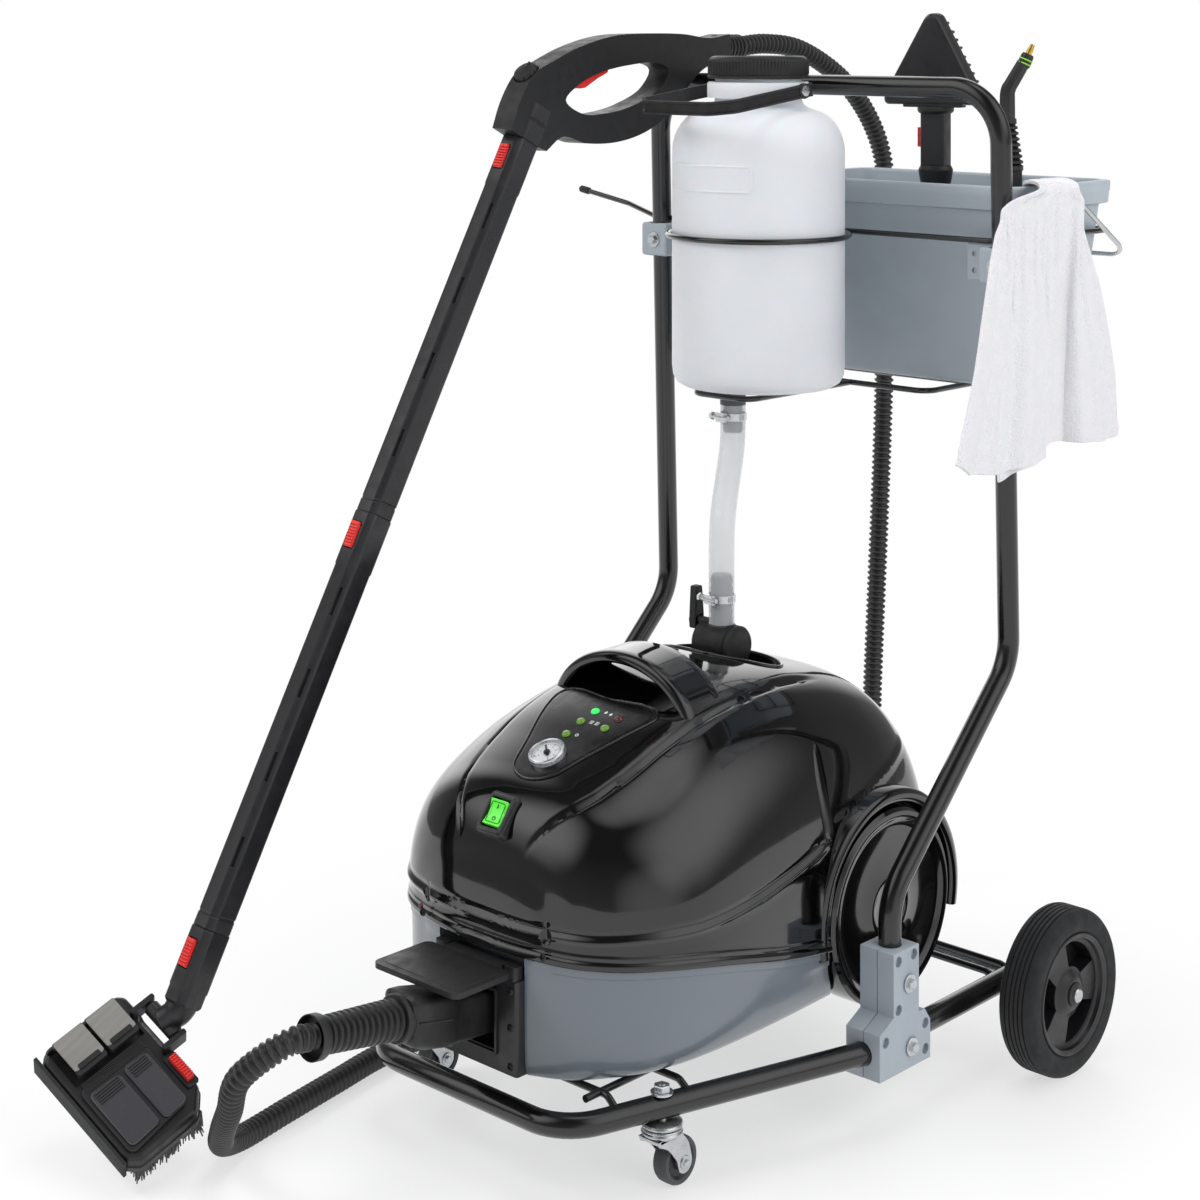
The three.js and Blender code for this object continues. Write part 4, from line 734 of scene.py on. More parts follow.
# ---- Bucket and what it holds ----
def bucket():
    left, right, front, back, bottom = -135, 257, 20, 240, 764

    def ring(z, spread, inset=0):
        x = (left + spread + inset, right - spread - inset)
        y = (front + spread * 0.6 + inset, back - spread * 0.6 - inset)
        return np.column_stack([soft_rectangle(x, y, 24 - inset, 9), np.full(36, float(z))])

    def spread(z):
        return 30 * (RIM_Z - z) / (RIM_Z - bottom) + 8

    rows = [ring(bottom, spread(bottom) + 6), ring(bottom + 1.6, spread(bottom) + 2), ring(bottom + 6, spread(bottom))]
    rows += [ring(z, spread(z)) for z in (800, 850, 900, 940, 966, 974)]
    rows += [ring(975.5, 6.6), ring(976, 3), ring(977.2, 2.2), ring(990, 1.2), ring(991, 0.4), ring(1001, 0), ring(1003.2, 0.8),
             ring(1004, 2.4), ring(1004, 8), ring(1003, 9.4, 0.8), ring(1000, 9, 2), ring(974, spread(974), 3)]
    rows += [ring(z, spread(z), 3) for z in (940, 900, 850, 800, 772)]
    rows += [ring(767.4, spread(767), 6)]
    make("bucket_shell", skin(rows), "bucket", node="bucket", sharp=50)
    ears = []
    for x, s in ((right - 1.6, 1), (left + 1.6, -1)):
        ears.append(aim(lathe([(0, 0), (11, 0), (11, 2), (10, 3), (0, 3)], 40), (x, 130, 990), (s, 0, 0)))
        ears.append(aim(lathe([(0, 0), (3.2, 0), (3.2, 9), (2.6, 10), (0, 10)], 24), (x, 130, 990), (s, 0, 0)))
    make("bucket_ears", combine(*ears), "bucket")
    x0, x1 = left - 6, right + 6
    wire = rod([(x1, 6, 0), (x1, 148, 0), (x0, 148, 0), (x0, 6, 0)], 3, 30, 16)
    loops = [tube([(x, 7.4 * math.cos(a), 7.4 * math.sin(a)) for a in np.radians(np.arange(0, 360, 12))], 2.4, 12, wrap=True)
             for x in (x0, x1)]
    turn = Matrix.Translation((0, 130, 990)) @ Matrix.Rotation(math.radians(-33), 4, "X")
    make("bail_wire", placed(combine(wire, *loops), turn), "zinc", "bucket_bail", "bucket_bail")
    grip = lathe([(3, 0), (7, 0), (8, 1.5), (8, 98.5), (7, 100), (3, 100), (3, 0)], 24)
    make("bail_grip", placed(aim(grip, ((x0 + x1) / 2 - 50, 148, 0), (1, 0, 0)), turn), "plastic", "bucket_bail")


def triangle_tool():
    turn = Matrix.Translation((55, 140, 0)) @ Matrix.Rotation(math.radians(12), 4, "Z")
    corners = [(-66, 1094, 0), (66, 1094, 0), (66, 1106, 0), (0, 1222, 0), (-66, 1106, 0)]
    outline = [(p[0], p[1]) for p in rounded(corners[2:] + corners[:3], 12, 12)[1:-1]]
    centre = np.array((0, 1130))

    def layer(y, grow):
        flat = centre + (np.array(outline) - centre) * grow
        return np.column_stack([flat[:, 0], np.full(len(flat), y), flat[:, 1]])

    head = skin([layer(-17, 0.9), layer(-16, 0.95), layer(-12, 0.99), layer(-6, 1), layer(1, 1), layer(2, 0.985), layer(3, 0.985),
                 layer(4, 1), layer(6, 1), layer(7, 0.97)])
    base = soft_box((-40, 40), (-15, 6), (1091, 1112), 5)
    neck = soft_box((-16, 16), (-14, 14), (1008, 1096), 4)
    flare = lathe([(0, 985), (17, 985), (20, 1000), (22, 1012), (19, 1018), (0, 1018)], 40)
    stem = lathe([(0, 790), (14, 790), (15, 800), (15, 985), (0, 985)], 40)
    shoulder = lathe([(0, 1083), (20, 1083), (23, 1086), (23, 1092), (0, 1092)], 40)
    make("triangle_head", placed(head, turn), "satin", node="triangle_tool", sharp=30)
    latch_room = placed(box((-18, -13.4), (-8, 8), (1040, 1066)), turn)
    make("triangle_neck", placed(neck, turn), "plastic", cut=[latch_room], bevel=1.2, segments=2)
    make("triangle_collars", placed(combine(flare, stem, shoulder, base), turn), "plastic", bevel=1.2, segments=2)
    tufts = []
    rng = np.random.default_rng(4)
    for z in np.arange(1102, 1206, 10.5):
        half = 60 * (1 - max(0, z - 1106) / 112)
        for x in np.linspace(-half, half, max(2, int(half / 5))):
            lean = rng.uniform(-0.12, 0.12, 2)
            tufts.append(aim(lathe([(0, 0), (2.2, 0), (2.4, 6), (1.8, 9.6), (0, 10)], 7), (x, 6, z), (lean[0], 1, lean[1])))
    make("triangle_tufts", placed(combine(*tufts), turn), "bristle")
    latch = [box((-21.7, -17), (-7.3, 7.3), (1040.8, 1065.2))]
    latch += [box((-21.9, -16), (-7.3, 7.3), (z, z + 1.6)) for z in np.arange(1042, 1064, 3.1)]
    make("triangle_button", placed(combine(*latch), turn), "red", "triangle_latch", "triangle_latch", bevel=0.4, segments=2)


def detail_nozzle():
    x, y = 170, 128
    sleeve = [(0, 800), (17, 800), (18, 1016), (19.4, 1017), (19.4, 1022), (18.2, 1023)]
    for k in range(7):
        r = 18.6 - 1.1 * k
        z = 1024 + 7 * k
        sleeve += [(r - 2.6, z), (r + 0.6, z + 1.4), (r + 0.6, z + 4), (r - 2.6, z + 5.6)]
    sleeve += [(11.4, 1074), (11, 1080), (0, 1080)]
    path = rounded([(x, y, 1078), (x, y, 1114), (x + 15, y + 13, 1148)], 22, 4)
    scale = np.interp(np.linspace(0, 1, len(path)), (0, 0.15, 0.8, 1), (1, 0.95, 0.95, 0.85))
    neck = sweep(path, circle(10, 8), scale=scale)
    lean = Vector((15, 13, 44)).normalized()
    head = lathe([(0, -2), (8.2, -2), (8.4, 0), (7.4, 0.6), (7.4, 2), (8.2, 2.6), (8.2, 5), (7.4, 5.6), (7.4, 7), (8, 7.6), (8, 11),
                  (6.6, 14), (0, 14)], 36)
    make("nozzle_body", combine(shifted(lathe(sleeve, 48), x, y, 0), neck, aim(head, (x + 15, y + 13, 1146), lean)), "plastic",
         node="detail_nozzle", sharp=30)
    rings = [tube([Vector((x + 15, y + 13, 1146)) + lean * h + Matrix.Rotation(a, 3, lean) @ lean.orthogonal().normalized() * 7.9
                   for a in np.radians(np.arange(0, 360, 12))], 0.9, 10, wrap=True) for h in (1.3, 6.3)]
    make("nozzle_rings", combine(*rings), "ring_green")
    tip = lathe([(0, 12), (4, 12), (4.2, 13), (4.2, 20), (3.4, 22), (3, 26), (2.4, 27), (0, 27)], 32)
    make("nozzle_tip", aim(tip, (x + 15, y + 13, 1146), lean), "brass")


# ---- Boiler unit casing ----
# Outline stations from nose to tail: [y, half width, crown height, lip height].
STATIONS = [
    (-606, 30, 236, 230), (-603, 58, 258, 230), (-598, 84, 286, 230), (-592, 103, 308, 229), (-583, 127, 338, 229),
    (-570, 148, 361, 229), (-550, 168, 378, 228), (-520, 189, 392, 227), (-480, 204, 410, 223),
    (-430, 211, 432, 214), (-354, 213, 453, 197), (-270, 211, 462, 183), (-188, 207, 455, 176),
    (-120, 203, 440, 173), (-75, 193, 422, 171), (-45, 174, 398, 170), (-32, 152, 374, 170), (-25, 114, 344, 170),
]
SHELL_POWER = 2.8
# Half the distance between the two creases of the hood, by y, nose first.
HOOD = np.array([(-584, 51), (-570, 67), (-545, 84), (-520, 94), (-490, 101), (-460, 105), (-420, 107), (-380, 107),
                 (-300, 110), (-190, 100), (-120, 96)])
# Height of the ridge round the casing, by y.
RIDGE = np.array([(-606, 257), (-577, 258), (-525, 261), (-483, 262), (-442, 266), (-396, 272), (-326, 285), (-278, 296)])
OUTLINE = spline(STATIONS, 230)


def section(y):
    """Half width, crown height and lip height of the casing at y."""
    return [np.interp(y, OUTLINE[:, 0], OUTLINE[:, k]) for k in (1, 2, 3)]


def hood_relief(x, y):
    """How far the hood between the creases stands proud, and the valley along each crease."""
    crease = np.interp(y, HOOD[:, 0], HOOD[:, 1])
    strength = ease((y + 592) / 30) * (1 - ease((y + 215) / 70))
    gap = np.abs(x) - crease
    return strength * (2.6 * (1 - ease((gap + 9) / 9)) - 2.6 * np.exp(-(gap / 2.4) ** 2))


def surface_height(x, y):
    half, crown, lip = section(y)
    share = np.clip(np.abs(x) / half, 0, 1)
    return lip + (crown - lip) * (1 - share ** SHELL_POWER) ** (1 / SHELL_POWER) + hood_relief(x, y)


def casing_rows():
    low = np.linspace(0, 0.42, 74)[:-1]
    start = math.asin(0.42 ** (SHELL_POWER / 2))
    high = np.sin(np.linspace(start, math.pi / 2, 68)) ** (2 / SHELL_POWER)
    rise = np.concatenate([low, high])
    across = (1 - np.clip(rise, 0, 1) ** SHELL_POWER) ** (1 / SHELL_POWER)
    rise = np.concatenate([rise, rise[-2::-1]])
    across = np.concatenate([across, -across[-2::-1]])
    rows = np.array([np.column_stack([half * across, np.full(len(rise), y), lip + (crown - lip) * rise])
                     for y, half, crown, lip in OUTLINE])
    return rows


def casing_normals(rows):
    along, around = np.gradient(rows, axis=0), np.gradient(rows, axis=1)
    normals = unit(np.cross(around, along) + 1e-9)
    outward = rows - np.array((0, -320, 200))
    flip = np.sum(normals * outward, axis=2) < 0
    normals[flip] *= -1
    return normals


def casing_relief(rows):
    """Raised beads, ledge and hood creases, as a distance along the surface normal."""
    x, y, z = rows[:, :, 0], rows[:, :, 1], rows[:, :, 2]
    lip = section(y)[2]
    above = z - lip
    lip_bead = 2.4 * np.exp(-((above - 4) / 4.2) ** 4) + 1.2 * np.exp(-((above - 13) / 2.2) ** 2)
    ridge = np.interp(y, RIDGE[:, 0], RIDGE[:, 1])
    fade = 1 - ease((y + 290) / 20)
    up = z - ridge
    ledge = fade * (2.2 * np.exp(-(up / 3.2) ** 2) - 1.6 * np.exp(-((up - 7) / 3) ** 2) - 0.8 * (ease((up + 2) / -12)))
    rear = np.interp(y, (-250, -60), (316, 362))
    tail = ease((y + 262) / 24) * (1 - ease((y + 90) / 40))
    rib = tail * 2.4 * np.exp(-((z - rear) / 3.4) ** 2)
    steep = np.abs(casing_normals(rows)[:, :, 2])
    return lip_bead + ledge + rib + hood_relief(x, y) * ease((steep - 0.1) / 0.35)


def casing():
    rows = casing_rows()
    rows = rows + casing_normals(rows) * casing_relief(rows)[:, :, None]
    tools = []
    for sign in (-1, 1):
        arch = bar((150, BODY_WHEEL.y, BODY_WHEEL.z), (240, BODY_WHEEL.y, BODY_WHEEL.z), 113, 96)
        front = capsule([(91, -607, 312), (91, -606, 300), (91, -602, 266), (91, -600, 246)], (4, 8, 9, 8))
        flank = capsule([(166, -248, 396), (187, -262, 364), (200, -268, 334), (210, -270, 298)], (5, 9, 10, 10))
        tools += [on_side(tool, sign) for tool in (arch, front, flank)]
    dish = lathe([(0, 434), (0.72, 434), (0.9, 438), (1, 446), (1.02, 470), (0, 470)], 72)
    tools.append((dish[0] * (84, 40, 1) + (VALVE.x, VALVE.y, 0), dish[1]))
    make("casing_shell", skin(list(rows)), "gloss", node="top_shell", cut=tools, sharp=34)
    rim = [(VALVE.x + 85 * u, VALVE.y + 41 * v) for u, v in circle(1, 96)]
    make("filler_rim", tube([(x, y, surface_height(x, y) + 0.4) for x, y in rim], 2, 10, wrap=True), "gloss")


def capsule(path, radii):
    """A groove tool: a tube with round ends along a path."""
    line = spline(path, 24)
    run = np.linspace(0, 1, 24)
    size = np.interp(run, np.linspace(0, 1, len(radii)), radii)
    cap = np.sqrt(np.clip(1 - (1 - np.minimum(run, 1 - run) / 0.12) ** 2, 0.02, 1))
    return sweep(line, circle(1, 24), scale=size * np.where(np.minimum(run, 1 - run) < 0.12, cap, 1))


def casing_fittings():
    """Wheel arches and screws on both flanks, a signal lens on the nose and louvres at the back."""
    arch = [(BODY_WHEEL.y + 122 * math.cos(a), BODY_WHEEL.z + 122 * math.sin(a)) for a in np.radians(np.arange(-14, 195, 3))]
    section_points = [(-8, -52), (8, -52), (8, -3), (5.5, 0.6), (0, 2), (-5.5, 0.6), (-8, -3)]
    ring = sweep([(211, y, z) for y, z in arch], [(u, v) for u, v in section_points], up=(1, 0, 0))
    for side, sign in SIDES:
        make(f"{side}_wheel_arch", on_side(ring, sign), "gloss", bevel=1.5, segments=3, sharp=50)
        screws = [screw((sign * 91, -601.5, 238), (0, -1, 0.1), 4.4), screw((sign * 203.5, -271, 299), (sign, -0.1, 0.2), 4.6)]
        make(f"{side}_casing_screws", combine(*screws), "plastic")
    lens = lathe([(0, 0), (3, 0), (3, 1), (2.2, 2.4), (0, 3)], 24)
    make("signal_lens", aim(lens, (-91, -603.5, 246), (0, -1, 0)), "lamp_red")
    vents = [rod([(-60, -24.4, z), (60, -24.4, z)], 1.6, 4, 8) for z in range(215, 300, 12)]
    make("rear_louvres", combine(*vents), "gloss")


def tub():
    rows = []
    for y, half, _, seam in OUTLINE:
        head = half - 3
        profile = [(head, seam - 0.5), (head, seam - 8), (head - 2, seam - 9), (head - 2.5, seam - 16)]
        curve = [(head - 2.5, seam - 16), (0.985 * head - 2, 165), (0.94 * head, 138), (0.88 * head, 119), (0.8 * head, 109.5),
                 (0.72 * head, TUB_Z)]
        side = profile[:-1] + spline(curve, 26).tolist()
        rows.append([(x, y, z) for x, z in side] + [(-x, y, z) for x, z in reversed(side)])
    tools = [bar((s * 150, BODY_WHEEL.y, BODY_WHEEL.z), (s * 240, BODY_WHEEL.y, BODY_WHEEL.z), 113, 96) for s in (-1, 1)]
    tools.append(box((-64, 64), (-640, -570), (90, FLAP.z + 20)))
    make("tub_shell", skin(rows), "tub", node="lower_tub", cut=tools, sharp=30)


def body_wheels():
    disc = [(0, 4), (105, 4), (109, 8), (109, 44), (105.5, 47.6), (101, 48), (97, 46.4), (93, 42.6), (88, 41.6), (40, 41.6),
            (35, 43.4), (30, 43.8), (27, 42), (0, 41.4)]
    for side, sign in SIDES:
        name = f"{side}_body_wheel"
        at = on_side(shifted(along_x(lathe(disc, 120)), 165, BODY_WHEEL.y, BODY_WHEEL.z), sign)
        make(f"{side}_body_disc", at, "gloss", name, name, sharp=40)


def carry_handle():
    def arch(width, height, drop):
        angles = np.radians(np.linspace(-6, 186, 61))
        return [(width * math.cos(a), 0, 413 + drop + height * math.sin(a)) for a in angles]

    band = [(-33, -4.5), (-30, -7.5), (-24, -8), (-20, -6.5), (20, -6.5), (24, -8), (30, -7.5), (33, -4.5), (33, 1.5), (31, 4.4),
            (26, 6), (18, 5.4), (0, 6), (-18, 5.4), (-26, 6), (-31, 4.4), (-33, 1.5)]
    mid = [(x, -355, z) for x, _, z in arch(100.5, 74, 0)]
    rings = sweep(mid, np.array([(v, u) for u, v in band]), up=(0, 1, 0))
    flip = [(x, -355, z) for x, _, z in arch(100.5, 74, 0)]
    make("handle_arch", rings, "gloss", node="carry_handle", sharp=45)
    return flip


def conforming(outline, lift, thick, rings=7):
    """A plate whose top follows the casing's crown: rings of a plane outline shrink to its middle."""
    flat = np.asarray(outline, float)
    middle = flat.mean(0)
    rows = [np.column_stack([flat, surface_height(flat[:, 0], flat[:, 1]) - thick])]
    for k in range(rings * 3):
        share = 1 - k / (rings * 3)
        at = middle + (flat - middle) * (0.992 if k == 0 else share * 0.985)
        at = flat if k == 0 else at
        up = lift - (0.7 if k == 0 else 0)
        rows.append(np.column_stack([at, surface_height(at[:, 0], at[:, 1]) + up]))
    rows.append(np.column_stack([np.tile(middle, (len(flat), 1)), np.full(len(flat), surface_height(*middle) + lift)]))
    return skin(rows)


def panel_outline():
    arc = circle(38, 30, 205, 130) + (0, -500)
    right = [(44, -492), (62, -452), (73, -420), (74, -408), (66, -399), (48, -397)]
    half = spline([tuple(arc[-1])] + right, 40)
    left = half[::-1] * (-1, 1)
    bottom = spline([(48, -397), (0, -403), (-48, -397)], 24)[1:-1]
    return np.vstack([arc, half[1:], bottom, left[:-1]])


def control_panel():
    outline = panel_outline()
    make("panel_plate", conforming(outline, 1.4, 6), "panel", node="control_panel", sharp=30)
    edge = [(x, y, surface_height(x, y) + 1.0) for x, y in outline]
    make("panel_edge", tube(edge, 1.3, 10, wrap=True), "gloss")
    dome = [(0, -3), (5.2, -3), (5.2, 0.8), (4.4, 2), (3, 2.8), (0, 3.2)]
    lamps = (("lamp_ready", 2, -429, "lamp_on"), ("lamp_pump", -2, -448, "lamp_off"), ("lamp_heat", -4, -469, "lamp_off"),
             ("lamp_empty", 38, -430, "lamp_red"), ("lamp_fill", 34, -448, "lamp_off"))
    icons = []
    for name, x, y, finish in lamps:
        normal = panel_normal(x, y)
        make(name, aim(lathe(dome, 32), (x, y, surface_height(x, y) + 1.2), normal), finish)
        side = -14 if x > 20 else 14
        icons.append(mark_drop(x + side, y + 2, len(icons)))
    make("panel_icons", combine(*icons), "mark")


def panel_normal(x, y):
    step = 2.0
    dx = (surface_height(x + step, y) - surface_height(x - step, y)) / (2 * step)
    dy = (surface_height(x, y + step) - surface_height(x, y - step)) / (2 * step)
    return Vector((-dx, -dy, 1)).normalized()


def mark_drop(x, y, kind):
    """A small generic sign beside a lamp: a drop, three bars or a ring."""
    turn = panel_normal(x, y)
    if kind % 3 == 0:
        outline = [(0, 3)] + circle(1.8, 12, 30, -240).tolist()
        sign = prism(outline, 0, 0.3)
    elif kind % 3 == 1:
        sign = combine(*[prism([(-2.4, v), (2.4, v), (2.4, v + 0.8), (-2.4, v + 0.8)], 0, 0.3) for v in (-2, 0, 2)])
    else:
        sign = lathe([(1.4, 0), (2.2, 0), (2.2, 0.3), (1.4, 0.3), (1.4, 0)], 24)
    return aim(sign, (x, y, surface_height(x, y) + 1.5), turn)


def tilted(shape, y, z, tilt):
    return placed(shape, Matrix.Translation((0, y, z)) @ Matrix.Rotation(math.radians(tilt), 4, "X"))


def dash():
    """Pressure gauge and rocker switch on the nose."""
    def on_gauge(shape):
        return tilted(shape, *GAUGE)

    bezel = [(0, -16), (21, -16), (21, 5), (20.4, 6.4), (19.4, 7), (18.4, 6.6), (17.8, 5), (17.6, 2.6), (0, 2.6)]
    make("gauge_bezel", on_gauge(lathe(bezel, 72)), "bezel", node="pressure_gauge")
    face = lathe([(0, 2.6), (17.4, 2.6), (17.4, 3), (0, 3)], 64)
    make("gauge_face", on_gauge(face), "dial")
    ticks = []
    for k in range(31):
        angle = math.radians(225 - 9 * k)
        inner = 12.4 if k % 5 == 0 else 14
        wide = 0.4 if k % 5 == 0 else 0.2
        tick = box((inner, 15.6), (-wide, wide), (3, 3.2))
        ticks.append(placed(tick, Matrix.Rotation(angle, 4, "Z")))
    make("gauge_ticks", on_gauge(combine(*ticks)), "ink")
    for k in range(7):
        angle = math.radians(225 - 45 * k)
        digits = text(f"gauge_number_{k}", str(k), 3.4, (9.8 * math.cos(angle), 9.8 * math.sin(angle)), 3.05)
        digits.matrix_world = on_dash(*GAUGE) @ digits.matrix_world
        dress(digits, "ink")
    needle = [(-1.6, -6), (1.6, -6), (1.1, 4), (0.25, 14), (-0.25, 14), (-1.1, 4)]
    hand = combine(prism(needle, 3.9, 4.7), lathe([(0, 3.8), (3.6, 3.8), (3.6, 5.2), (3, 5.8), (0, 6)], 32))
    hand = placed(hand, Matrix.Rotation(math.radians(48), 4, "Z"))
    make("needle_hand", on_gauge(hand), "ink", "gauge_needle", "gauge_needle")

    def on_rocker(shape):
        return tilted(shape, -577, 358, 52)

    outer = soft_rectangle((-20, 20), (-23, 23), 5)
    step = soft_rectangle((-17.2, 17.2), (-20.2, 20.2), 4)
    inner = soft_rectangle((-13.4, 13.4), (-16.4, 16.4), 2.5)

    def level(points, z):
        return np.column_stack([points, np.full(len(points), z)])

    bezel = skin([level(outer, -12), level(outer, 1.2), level(outer * 0.985, 2), level(step * 1.04, 2.2), level(step, 4.6),
                  level(step * 0.975, 5.2), level(inner * 1.06, 5.2), level(inner, 4.4), level(inner, -10), level(inner, -12)],
                 wrap=True)
    make("rocker_bezel", on_rocker(bezel), "satin", sharp=35)
    outline = [(-13.5, 5), (-8, 3.6), (0, 2.7), (7, 4.6), (13.5, 7.5), (13.5, -2), (6, -8), (-6, -8), (-13.5, -2)]
    make("rocker_paddle", on_rocker(standing(outline, -12.4, 12.4)), "green", "rocker_switch", "rocker_switch", bevel=1,
         segments=3)
    groove = []
    for half_x, half_y in ((9.8, 10.6),):
        loop = soft_rectangle((-half_x, half_x), (-half_y, half_y), 1.6, 4)
        z = np.interp(loop[:, 1], (-13.5, -8, 0, 7, 13.5), (5, 3.6, 2.7, 4.6, 7.5)) + 0.1
        groove.append(tube(np.column_stack([loop, z]), 0.45, 8, wrap=True))
    stroke = box((-0.5, 0.5), (4.2, 9), (5.2, 5.9))
    stroke = placed(stroke, Matrix.Translation((0, 0, -0.4)))
    ring = shifted(lathe([(1.5, 0), (2.4, 0), (2.4, 0.5), (1.5, 0.5), (1.5, 0)], 32), 0, -6, 3.3)
    make("rocker_marks", on_rocker(combine(*groove, stroke, ring)), "green_line", "rocker_switch")


def on_dash(y, z, tilt):
    """Matrix, in metres, of a tilted fitting's frame."""
    place = HOME + Vector((0, y, z)) / 1000
    return Matrix.Translation(place) @ Matrix.Rotation(math.radians(tilt), 4, "X")


def text(name, words, size, at, z):
    """Flat letters as a mesh, centred at a point of a fitting's own plane."""
    curve = bpy.data.curves.new(name, "FONT")
    curve.body = words
    curve.size = size / 1000
    curve.extrude = 0.00008
    curve.align_x = "CENTER"
    curve.align_y = "CENTER"
    source = bpy.data.objects.new(name + "_curve", curve)
    bpy.context.scene.collection.objects.link(source)
    bpy.context.view_layer.update()
    mesh = bpy.data.meshes.new_from_object(source)
    bpy.data.objects.remove(source)
    obj = bpy.data.objects.new(name, mesh)
    bpy.context.scene.collection.objects.link(obj)
    obj.matrix_world = Matrix.Translation((at[0] / 1000, at[1] / 1000, z / 1000))
    return obj


def dress(obj, finish, body="trolley"):
    obj.data.materials.clear()
    obj.data.materials.append(LOOKS[finish])
    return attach(obj, body)


# ---- Steam outlet, plug and hose ----
def outlet():
    z = FLAP.z
    housing = soft_box((-63.5, 63.5), (SOCKET_Y, -571), (108, z - 8), 4)
    pocket = box((-30, 30), (SOCKET_Y - 2, -586), (130, 188))
    make("socket_block", housing, "satin", node="steam_socket", cut=[pocket], bevel=1.4, segments=2)
    knuckles = [soft_box((x - 9, x + 9), (SOCKET_Y, SOCKET_Y + 14), (z - 9, z + 6), 4) for x in (-52, 52)]
    surround = [box((x - 1.5, x + 1.5), (SOCKET_Y - 2.5, SOCKET_Y), (126, 192)) for x in (-34, 34)]
    surround += [box((-34, 34), (SOCKET_Y - 2.5, SOCKET_Y), (h - 1.5, h + 1.5)) for h in (126, 192)]
    make("socket_knuckles", combine(*knuckles, *surround, bar((-60, FLAP.y, z), (60, FLAP.y, z), 2)), "plastic", bevel=0.8,
         segments=2)
    screws = [screw((x, SOCKET_Y, h), (0, -1, 0), 4.2) for x in (-54, 54) for h in (118, 158, 196)]
    make("socket_screws", combine(*screws), "plastic")
    lid = prism(soft_rectangle((-64, 64), (FLAP.y - 92, FLAP.y - 12), 9), z - 1, z + 5)
    rib = prism(soft_rectangle((-56, 56), (FLAP.y - 84, FLAP.y - 20), 6), z + 4.6, z + 5.5)
    knuckle = box((-42, 42), (FLAP.y - 13, FLAP.y + 5), (z - 4, z + 5))
    hole = bar((-70, FLAP.y, z), (70, FLAP.y, z), 2.7)
    make("flap_plate", combine(lid, rib), "plastic", "socket_flap", "socket_flap", bevel=1.3, segments=3)
    make("flap_knuckle", knuckle, "plastic", "socket_flap", cut=[hole], bevel=1.4, segments=2)


def plug():
    rows = []
    for y, z, w, h, r in ((-588, 160, 21, 21, 5), (-640, 168, 23, 24, 6), (-660, 171, 24, 25, 7), (-664, 172, 26, 27, 8),
                          (-700, 180, 26.5, 27.5, 9), (-714, 184, 25, 26, 10), (-717, 184.6, 22, 23, 10)):
        flat = soft_rectangle((-w, w), (z - h, z + h), r)
        rows.append(np.column_stack([flat[:, 0], np.full(len(flat), y), flat[:, 1]]))
    sleeve = [(0, 0), (24, 0), (24.6, 1.5), (24.6, 9), (23.4, 11)]
    for k in range(12):
        r, z = 20.8 - 0.2 * k, 12 + 8 * k
        sleeve += [(r - 2.6, z), (r, z + 1.4), (r, z + 4.6), (r - 2.6, z + 6.6)]
    sleeve += [(17, 108), (21.6, 110), (22.4, 112), (22.4, 121), (21.4, 121.4), (20.6, 112), (0, 112)]
    direction = Vector((0, -112.8, 15)).normalized()
    seam = [(-26.6, -668), (-26.9, -712)]
    parts = [skin(rows), aim(lathe(sleeve, 56), (0, -714, 184.5), direction)]
    make("plug_body", combine(*parts), "plastic", node="steam_plug", sharp=34)
    lines = [tube([(s * x * 1.002, y, 176 + (y + 668) * -0.2) for x, y in seam], 0.8, 8) for s in (1, -1)]
    grips = [tube([(x, y, 199.4 + (y + 672) * -0.22) for x in (-14, 14)], 0.9, 8) for y in range(-708, -672, 6)]
    make("plug_ribs", combine(*lines, *grips), "plastic")


def corrugated(path, outer, inner, pitch, sides=28):
    """A hose whose wall swells once in every pitch."""
    path = arr(path)
    length = np.sum(np.linalg.norm(np.diff(path, axis=0), axis=1))
    line = spline(path, int(length / pitch * 6))
    wave = np.cos(np.linspace(0, 2 * math.pi * round(length / pitch), len(line)))
    size = inner + (outer - inner) * (0.5 + 0.5 * np.sign(wave) * np.abs(wave) ** 0.6)
    return sweep(line, circle(1, sides), scale=size)


def steam_hose():
    path = [(0, -830, 200.8), (-2, -858, 203.5), (-40, -888, 168), (-78, -872, 118), (-128, -842, 72), (-172, -808, 34),
            (-200, -760, 15), (-215, -690, 14), (-232, -600, 14), (-246, -520, 14), (-248, -300, 14), (-248, 60, 14),
            (-240, 210, 14), (-212, 298, 28), (-190, 326, 90), (-180, 322, 274), (-173, 338, 674), (-172, 342, 900),
            (-174, 334, 1021), (-180, 274, 1106), (-190, 176, 1161), (-197, 110, 1170), (-200, 52, 1166.2)]
    make("steam_tube", corrugated(path, HOSE_R, HOSE_R - 3.2, 7.6, 20), "hose", node="steam_hose", sharp=60)


# ---- Wand ----
def wand_matrix():
    axis = (WAND_TOP - WAND_FOOT).normalized()
    front = (Vector((0, -1, 0)) + axis * axis.y).normalized()
    side = (-front).cross(axis).normalized()
    return Matrix.Translation(WAND_TOP) @ Matrix((side, -front, axis)).transposed().to_4x4()


WAND = wand_matrix()
WAND_OUTLINE = np.array(rounded([(x, y, 0) for x, y in (
    (-17, 0), (-17, -12), (-10, -19), (10, -19), (17, -12), (17, 12), (10, 19), (-10, 19), (-17, 12), (-17, 0))], 5, 15))[:-1, :2]


